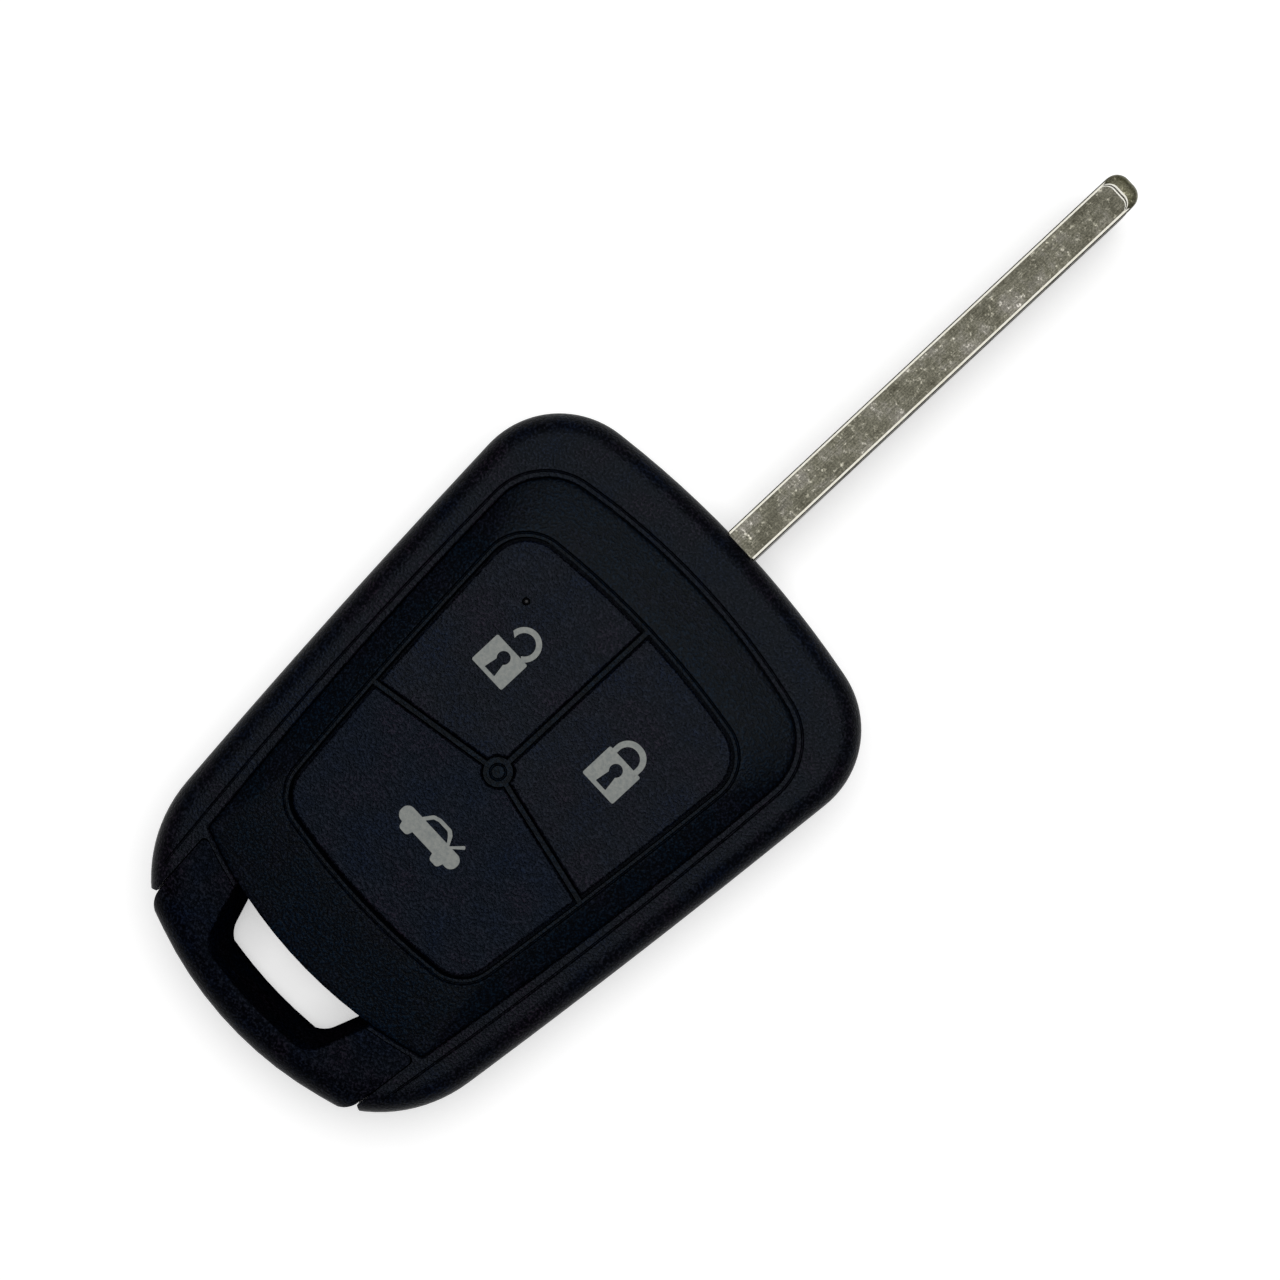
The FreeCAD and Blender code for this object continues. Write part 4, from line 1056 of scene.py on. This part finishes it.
def padlock_body(box, hole):
    """Body of a padlock, with its keyhole."""
    return carve(plate(arched(box, SYMBOL_CORNER, SYMBOL_CORNER)), keyhole(*hole))


def make_unlock_symbol():
    body = padlock_body(UNLOCK_BODY, UNLOCK_KEYHOLE)
    shackle = ring_plate(*UNLOCK_SHACKLE)
    carve(shackle, cutter(UNLOCK_GAP))
    return add(body, shackle)


def make_lock_symbol():
    body = padlock_body(LOCK_BODY, LOCK_KEYHOLE)
    shackle = plate(arched(LOCK_ARCH, ARCH_FOOT_ROUND, LOCK_ARCH_ROUND))
    carve(shackle, cutter(arched(LOCK_HOLLOW, ARCH_FOOT_ROUND, LOCK_HOLLOW_ROUND)))
    return add(body, shackle)


def make_boot_symbol():
    body = plate(CAR_BODY)
    top_half, top_y = WHEEL_TOP
    foot_half, foot_y = WHEEL_FOOT
    for x in WHEEL_PLACES:
        wheel = plate([(x - top_half, top_y, CUT_CORNER), (x - foot_half, foot_y, WHEEL_ROUND),
                       (x + foot_half, foot_y, WHEEL_ROUND), (x + top_half, top_y, CUT_CORNER)])
        add(body, wheel)
    roof = plate(CAR_ROOF)
    carve(roof, cutter(CAR_WINDOW))
    add(body, roof)
    return add(body, plate(CAR_LID))


# Materials

def new_material(name):
    material = bpy.data.materials.new(name)
    material.use_nodes = True
    nodes = material.node_tree.nodes
    nodes.clear()
    output = nodes.new("ShaderNodeOutputMaterial")
    shader = nodes.new("ShaderNodeBsdfPrincipled")
    material.node_tree.links.new(shader.outputs["BSDF"], output.inputs["Surface"])
    return material, shader


def pattern(material, size_mm, detail, roughness):
    """Noise with features of a given size, in the piece's own space."""
    nodes = material.node_tree.nodes
    spot = nodes.new("ShaderNodeTexCoord")
    texture = nodes.new("ShaderNodeTexNoise")
    texture.inputs["Scale"].default_value = 1 / (size_mm * MM)
    texture.inputs["Detail"].default_value = detail
    texture.inputs["Roughness"].default_value = roughness
    material.node_tree.links.new(spot.outputs["Object"], texture.inputs["Vector"])
    return texture.outputs["Fac"]


def streaks(material, width_mm, length_mm):
    """Noise drawn out along the blade."""
    nodes = material.node_tree.nodes
    links = material.node_tree.links
    spot = nodes.new("ShaderNodeTexCoord")
    stretch = nodes.new("ShaderNodeMapping")
    stretch.inputs["Scale"].default_value = (1 / (width_mm * MM), 1 / (length_mm * MM), 1 / (width_mm * MM))
    texture = nodes.new("ShaderNodeTexNoise")
    texture.inputs["Scale"].default_value = 1.0
    texture.inputs["Detail"].default_value = 3.0
    links.new(spot.outputs["Object"], stretch.inputs["Vector"])
    links.new(stretch.outputs["Vector"], texture.inputs["Vector"])
    return texture.outputs["Fac"]


def blend_colours(material, low, high, driver, colours):
    """Colour ramp between positions low and high of a driving value."""
    ramp = material.node_tree.nodes.new("ShaderNodeValToRGB")
    steps = ramp.color_ramp.elements
    steps[0].position = low
    steps[1].position = high
    steps[0].color = (*colours[0], 1)
    steps[1].color = (*colours[-1], 1)
    for number, colour in enumerate(colours[1:-1]):
        extra = steps.new(low + (high - low) * (number + 1) / (len(colours) - 1))
        extra.color = (*colour, 1)
    material.node_tree.links.new(driver, ramp.inputs["Fac"])
    return ramp.outputs["Color"]


def multiplied(material, first, second):
    """Product of two colour outputs."""
    mix = material.node_tree.nodes.new("ShaderNodeMix")
    mix.data_type = "RGBA"
    mix.blend_type = "MULTIPLY"
    mix.inputs[0].default_value = 1.0
    material.node_tree.links.new(first, mix.inputs[6])
    material.node_tree.links.new(second, mix.inputs[7])
    return mix.outputs[2]


def bumped(material, height, depth_mm, strength=1.0, below=None):
    """Normal of a bumpy surface, over another bump if one is given."""
    bump = material.node_tree.nodes.new("ShaderNodeBump")
    bump.inputs["Distance"].default_value = depth_mm * MM
    bump.inputs["Strength"].default_value = strength
    material.node_tree.links.new(height, bump.inputs["Height"])
    if below is not None:
        material.node_tree.links.new(below, bump.inputs["Normal"])
    return bump.outputs["Normal"]


def grained_plastic(name, tones, tint, shine, roughness=0.36):
    """Dark moulded plastic with a fine spark-eroded grain, soft mottling and pale specks."""
    material, shader = new_material(name)
    links = material.node_tree.links
    clouds = pattern(material, CLOUD_MM, 3.0, 0.6)
    grain = pattern(material, GRAIN_MM, 2.0, 0.6)
    mottling = blend_colours(material, 0.34, 0.66, clouds, tones)
    specks = blend_colours(material, 0.36, 0.66, grain, SPECK_TONES)
    links.new(multiplied(material, mottling, specks), shader.inputs["Base Color"])
    shader.inputs["Roughness"].default_value = roughness
    shader.inputs["Specular IOR Level"].default_value = shine
    shader.inputs["Specular Tint"].default_value = (*tint, 1)
    links.new(bumped(material, grain, GRAIN_DEPTH_MM), shader.inputs["Normal"])
    return material


def worn_metal(name, tones):
    """Metal with tarnish, pale flecks, pits and fine scratches along the blade."""
    material, shader = new_material(name)
    links = material.node_tree.links
    tarnish = pattern(material, TARNISH_MM, 4.0, 0.65)
    pits = pattern(material, PIT_MM, 3.0, 0.7)
    flecks = pattern(material, FLECK_MM, 3.0, 0.7)
    scratches = streaks(material, *SCRATCH_MM)
    colour = blend_colours(material, 0.3, 0.7, tarnish, tones)
    pit_tone = blend_colours(material, 0.3, 0.75, pits, PIT_TONES)
    fleck_tone = blend_colours(material, 0.57, 0.72, flecks, FLECK_TONES)
    scratch_tone = blend_colours(material, 0.3, 0.7, scratches, SCRATCH_TONES)
    for tone in (pit_tone, fleck_tone, scratch_tone):
        colour = multiplied(material, colour, tone)
    links.new(colour, shader.inputs["Base Color"])
    shader.inputs["Metallic"].default_value = 1.0
    shader.inputs["Roughness"].default_value = 0.5
    pitted = bumped(material, pits, PIT_DEPTH_MM, SCRATCH_STRENGTH)
    scratched = bumped(material, scratches, SCRATCH_DEPTH_MM, SCRATCH_STRENGTH, pitted)
    links.new(scratched, shader.inputs["Normal"])
    return material


def simple_finish(name, dark, pale, size_mm, roughness, metallic=0.0, shine=0.5):
    """Finish between two tones, with a fine texture of its own."""
    material, shader = new_material(name)
    links = material.node_tree.links
    texture = pattern(material, size_mm, 3.0, 0.6)
    links.new(blend_colours(material, 0.35, 0.65, texture, [dark, pale]), shader.inputs["Base Color"])
    shader.inputs["Roughness"].default_value = roughness
    shader.inputs["Metallic"].default_value = metallic
    shader.inputs["Specular IOR Level"].default_value = shine
    links.new(bumped(material, texture, 0.005), shader.inputs["Normal"])
    return material


case_plastic = grained_plastic("case_plastic", DARK_TONES, (0.71, 0.85, 1.0), 0.052)
panel_plastic = grained_plastic("panel_plastic", BLUE_TONES, (0.8, 0.92, 1.0), 0.055, 0.42)
# painted shade: a copy of the case's plastic with less sheen and a bluer tint, for the loop's end, which
# takes less light
loop_plastic = grained_plastic("loop_plastic", DARK_TONES, (0.56, 0.74, 1.0), 0.022)
button_plastic = grained_plastic("button_plastic", DARK_TONES, (0.67, 0.8, 1.0), 0.0555)
# painted shade: a copy of the buttons' plastic with a bluer sheen, for the boot button, lower on the key
# where the light is bluer and dimmer
boot_button_shaded_plastic = grained_plastic("boot_button_shaded_plastic", DARK_TONES, (0.52, 0.7, 1.0), 0.055)
# painted shade: the case's plastic without its sheen, so that the keyring slot's walls look as dark as their
# shade
slot_wall_painted_shade = grained_plastic("slot_wall_painted_shade", DARK_TONES, (1.0, 1.0, 1.0), 0.0)
blade_metal = worn_metal("blade_metal", BLADE_TONES)
bevel_metal = simple_finish("bevel_metal", (0.82, 0.79, 0.66), (0.92, 0.9, 0.82), 0.3, 0.2, 1.0)
# painted light: the tip's end slope takes a paler copy of the blade's worn metal
tip_lit_metal = worn_metal("tip_lit_metal", TIP_LIT_TONES)
# painted highlight: a pale finish without metal's mirror, bright whichever way the tip's lines and corners
# face
painted_tip_glint = simple_finish("painted_tip_glint", (0.84, 0.82, 0.72), (0.92, 0.9, 0.82), 0.3, 0.3)
print_ink = simple_finish("print_ink", (0.15, 0.165, 0.16), (0.21, 0.22, 0.205), 0.25, 0.6)
inner_finishes = {name: simple_finish(name, *look) for name, look in INNER_LOOKS.items()}


# Faces that take a second finish, painted shade or painted light

def paint_where(piece, material, test):
    """Gives the faces whose centre and normal pass a test a second material."""
    piece.data.materials.append(material)
    for face in piece.data.polygons:
        if test(face.center / MM, face.normal):
            face.material_index = len(piece.data.materials) - 1


def is_upright(normal):
    return abs(normal.z) < UPRIGHT


def in_slot(spot, normal):
    """Walls of the keyring slot, which take painted shade."""
    beside = abs(spot.x) < SLOT_HALF_WIDTH + SLOT_MARGIN
    along = PANEL_HEEL - SLOT_LENGTH - SLOT_MARGIN < spot.y < PANEL_HEEL + SLOT_MARGIN
    return beside and along and is_upright(normal)


def blade_depth(spot):
    """Depth of a spot below the nearer flat of the blade."""
    return min(spot.z - BLADE_Z, BLADE_TOP - spot.z)


def on_blade_bevel(spot, normal):
    """Faces of the bevel along both edges, short of the tip."""
    in_bevel = blade_depth(spot) < BLADE_EDGE[1][0]
    return in_bevel and is_upright(normal) and BLADE_FOOT < spot.y < TIP_START


def on_tip_line(spot, normal):
    """Faces of the two bright lines across the tip, and of the bevel in its corners, which take a painted
    highlight.
    """
    depth = blade_depth(spot)
    outer_line = depth < TIP_FACETS[1][0]
    inner_line = TIP_FACETS[2][0] < depth < TIP_FACETS[3][0]
    corner = is_upright(normal) and spot.y < TIP_SLOPE_START
    in_bevel = depth < BLADE_EDGE[1][0] and spot.y > TIP_START
    return (outer_line or inner_line or corner) and in_bevel and abs(normal.z) < LEVEL


def on_tip_slope(spot, normal):
    """Faces beyond the bright lines, which take paler metal as painted light."""
    return blade_depth(spot) > TIP_FACETS[3][0] and spot.y > TIP_SLOPE_START


# Dressing the frame

def place(piece, name, body, slot, material, *nodes):
    """Names a finished piece, lets it ride its body and stand for its nodes."""
    piece.name = name
    piece.data.name = name
    piece.data.materials.clear()
    piece.data.materials.append(material)
    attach(piece, body)
    if nodes:
        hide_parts(*nodes)
    return piece


for part in frame["record"]["subparts"]:
    finish = inner_finishes.get(part["material_slot"])
    if finish is not None:
        node = frame["nodes"][part["node"]]
        node.data.materials.clear()
        node.data.materials.append(finish)

shell = place(make_front_shell(), "front_shell_skin", "case", "case_plastic", case_plastic, "front_shell")
cover = place(make_rear_cover(), "rear_cover_skin", "case", "case_plastic", case_plastic, "rear_cover")
place(make_front_panel(), "front_panel_skin", "case", "panel_plastic", panel_plastic, "front_panel")
# the loop takes the darker, bluer copy of the case plastic: painted shade
loop = place(make_keyring_loop(), "keyring_loop_skin", "case", "loop_plastic", loop_plastic, "keyring_loop")
# the slot's walls take painted shade: the same plastic with no sheen
for piece in (shell, cover, loop):
    paint_where(piece, slot_wall_painted_shade, in_slot)
blade = place(make_blade(), "blade_skin", "case", "blade_metal", blade_metal, "blade")
paint_where(blade, bevel_metal, on_blade_bevel)
# the tip's lines and corners take a painted highlight
paint_where(blade, painted_tip_glint, on_tip_line)
# the tip's end slope takes painted light: paler worn metal
paint_where(blade, tip_lit_metal, on_tip_slope)
# the light pipe takes the near-black clear_plastic finish: painted shade of its pinhole
clear = inner_finishes["clear_plastic"]
place(make_light_pipe(), "light_pipe_skin", "case", "clear_plastic", clear, "light_pipe")
for name, cap in make_buttons().items():
    # the boot button takes the bluer copy of the buttons' plastic: painted shade
    plastic = boot_button_shaded_plastic if name == "boot" else button_plastic
    place(cap, name + "_button_skin", name + "_key", "button_plastic", plastic, name + "_button")
symbols = {"unlock": make_unlock_symbol(), "lock": make_lock_symbol(), "boot": make_boot_symbol()}
for name, symbol in symbols.items():
    finish_surface(symbol)
    place(symbol, name + "_symbol", name + "_key", "button_plastic", print_ink)


# Floor, light, world and camera

def make_floor():
    """White floor: it takes the shadow, and stays white to the camera and in what shines."""
    bpy.ops.object.select_all(action="DESELECT")
    bpy.ops.mesh.primitive_plane_add(size=FLOOR_SIZE, location=(0, 0, FLOOR_Z))
    floor = settled()
    floor.name = "floor"
    material, shader = new_material("white_floor")
    nodes = material.node_tree.nodes
    links = material.node_tree.links
    shader.inputs["Base Color"].default_value = (0.8, 0.8, 0.8, 1)
    shader.inputs["Roughness"].default_value = 0.9
    shader.inputs["Specular IOR Level"].default_value = 0.0
    ray = nodes.new("ShaderNodeLightPath")
    lift = nodes.new("ShaderNodeEmission")
    white = nodes.new("ShaderNodeEmission")
    lifted = nodes.new("ShaderNodeAddShader")
    mirrored_share = nodes.new("ShaderNodeMath")
    mirrored_share.operation = "MAXIMUM"
    camera_share = nodes.new("ShaderNodeMath")
    camera_share.operation = "MULTIPLY"
    spot = nodes.new("ShaderNodeTexCoord")
    distance = nodes.new("ShaderNodeVectorMath")
    distance.operation = "LENGTH"
    far_lift = nodes.new("ShaderNodeMapRange")
    far_lift.inputs["From Min"].default_value = NEAR_FLOOR
    far_lift.inputs["From Max"].default_value = FAR_FLOOR
    far_lift.inputs["To Min"].default_value = FLOOR_LIFT
    far_lift.inputs["To Max"].default_value = 1.0
    shown = nodes.new("ShaderNodeMixShader")
    links.new(spot.outputs["Object"], distance.inputs[0])
    links.new(distance.outputs["Value"], far_lift.inputs["Value"])
    links.new(far_lift.outputs["Result"], camera_share.inputs[1])
    links.new(ray.outputs["Is Camera Ray"], camera_share.inputs[0])
    links.new(camera_share.outputs[0], lift.inputs["Strength"])
    links.new(shader.outputs["BSDF"], lifted.inputs[0])
    links.new(lift.outputs[0], lifted.inputs[1])
    links.new(ray.outputs["Is Glossy Ray"], mirrored_share.inputs[0])
    links.new(ray.outputs["Is Transmission Ray"], mirrored_share.inputs[1])
    links.new(mirrored_share.outputs[0], shown.inputs[0])
    links.new(lifted.outputs[0], shown.inputs[1])
    links.new(white.outputs[0], shown.inputs[2])
    links.new(shown.outputs[0], nodes["Material Output"].inputs["Surface"])
    floor.data.materials.append(material)


def make_light():
    """Round overhead light."""
    data = bpy.data.lights.new("overhead", "AREA")
    data.shape = "DISK"
    data.size = LIGHT_SIZE
    data.energy = LIGHT_POWER
    light = bpy.data.objects.new("overhead", data)
    bpy.context.scene.collection.objects.link(light)
    light.location = LIGHT_PLACE
    light.rotation_euler = (LIGHT_PLACE - LIGHT_AIM).to_track_quat("Z", "Y").to_euler()


def make_world():
    """Faint even light, with plain white where the camera sees past the floor."""
    world = bpy.data.worlds.new("studio")
    bpy.context.scene.world = world
    world.use_nodes = True
    nodes = world.node_tree.nodes
    links = world.node_tree.links
    faint = nodes["Background"]
    faint.inputs["Color"].default_value = (1, 1, 1, 1)
    faint.inputs["Strength"].default_value = WORLD_STRENGTH
    white = nodes.new("ShaderNodeBackground")
    white.inputs["Color"].default_value = (1, 1, 1, 1)
    shown = nodes.new("ShaderNodeMixShader")
    ray = nodes.new("ShaderNodeLightPath")
    links.new(ray.outputs["Is Camera Ray"], shown.inputs[0])
    links.new(faint.outputs[0], shown.inputs[1])
    links.new(white.outputs[0], shown.inputs[2])
    links.new(shown.outputs[0], nodes["World Output"].inputs["Surface"])


def make_camera():
    """Camera over the foot point, shifted so that the picture's middle is where the photo has it."""
    data = bpy.data.cameras.new("camera")
    camera = bpy.data.objects.new("camera", data)
    bpy.context.scene.collection.objects.link(camera)
    data.sensor_width = 36
    data.sensor_fit = "HORIZONTAL"
    data.lens = data.sensor_width * CAMERA_HEIGHT / PICTURE_WIDTH
    aside = (PICTURE_MIDDLE - CAMERA_FOOT) / PICTURE_WIDTH
    data.shift_x = aside.x * math.cos(PICTURE_TURN) + aside.y * math.sin(PICTURE_TURN)
    data.shift_y = aside.y * math.cos(PICTURE_TURN) - aside.x * math.sin(PICTURE_TURN)
    data.clip_start = 0.01
    camera.location = (CAMERA_FOOT.x * MM, CAMERA_FOOT.y * MM, (BUTTON_Z + CAMERA_HEIGHT) * MM)
    camera.rotation_euler = (0, 0, PICTURE_TURN)
    bpy.context.scene.camera = camera


make_floor()
make_light()
make_world()
bpy.context.scene.view_settings.view_transform = "Standard"
make_camera()
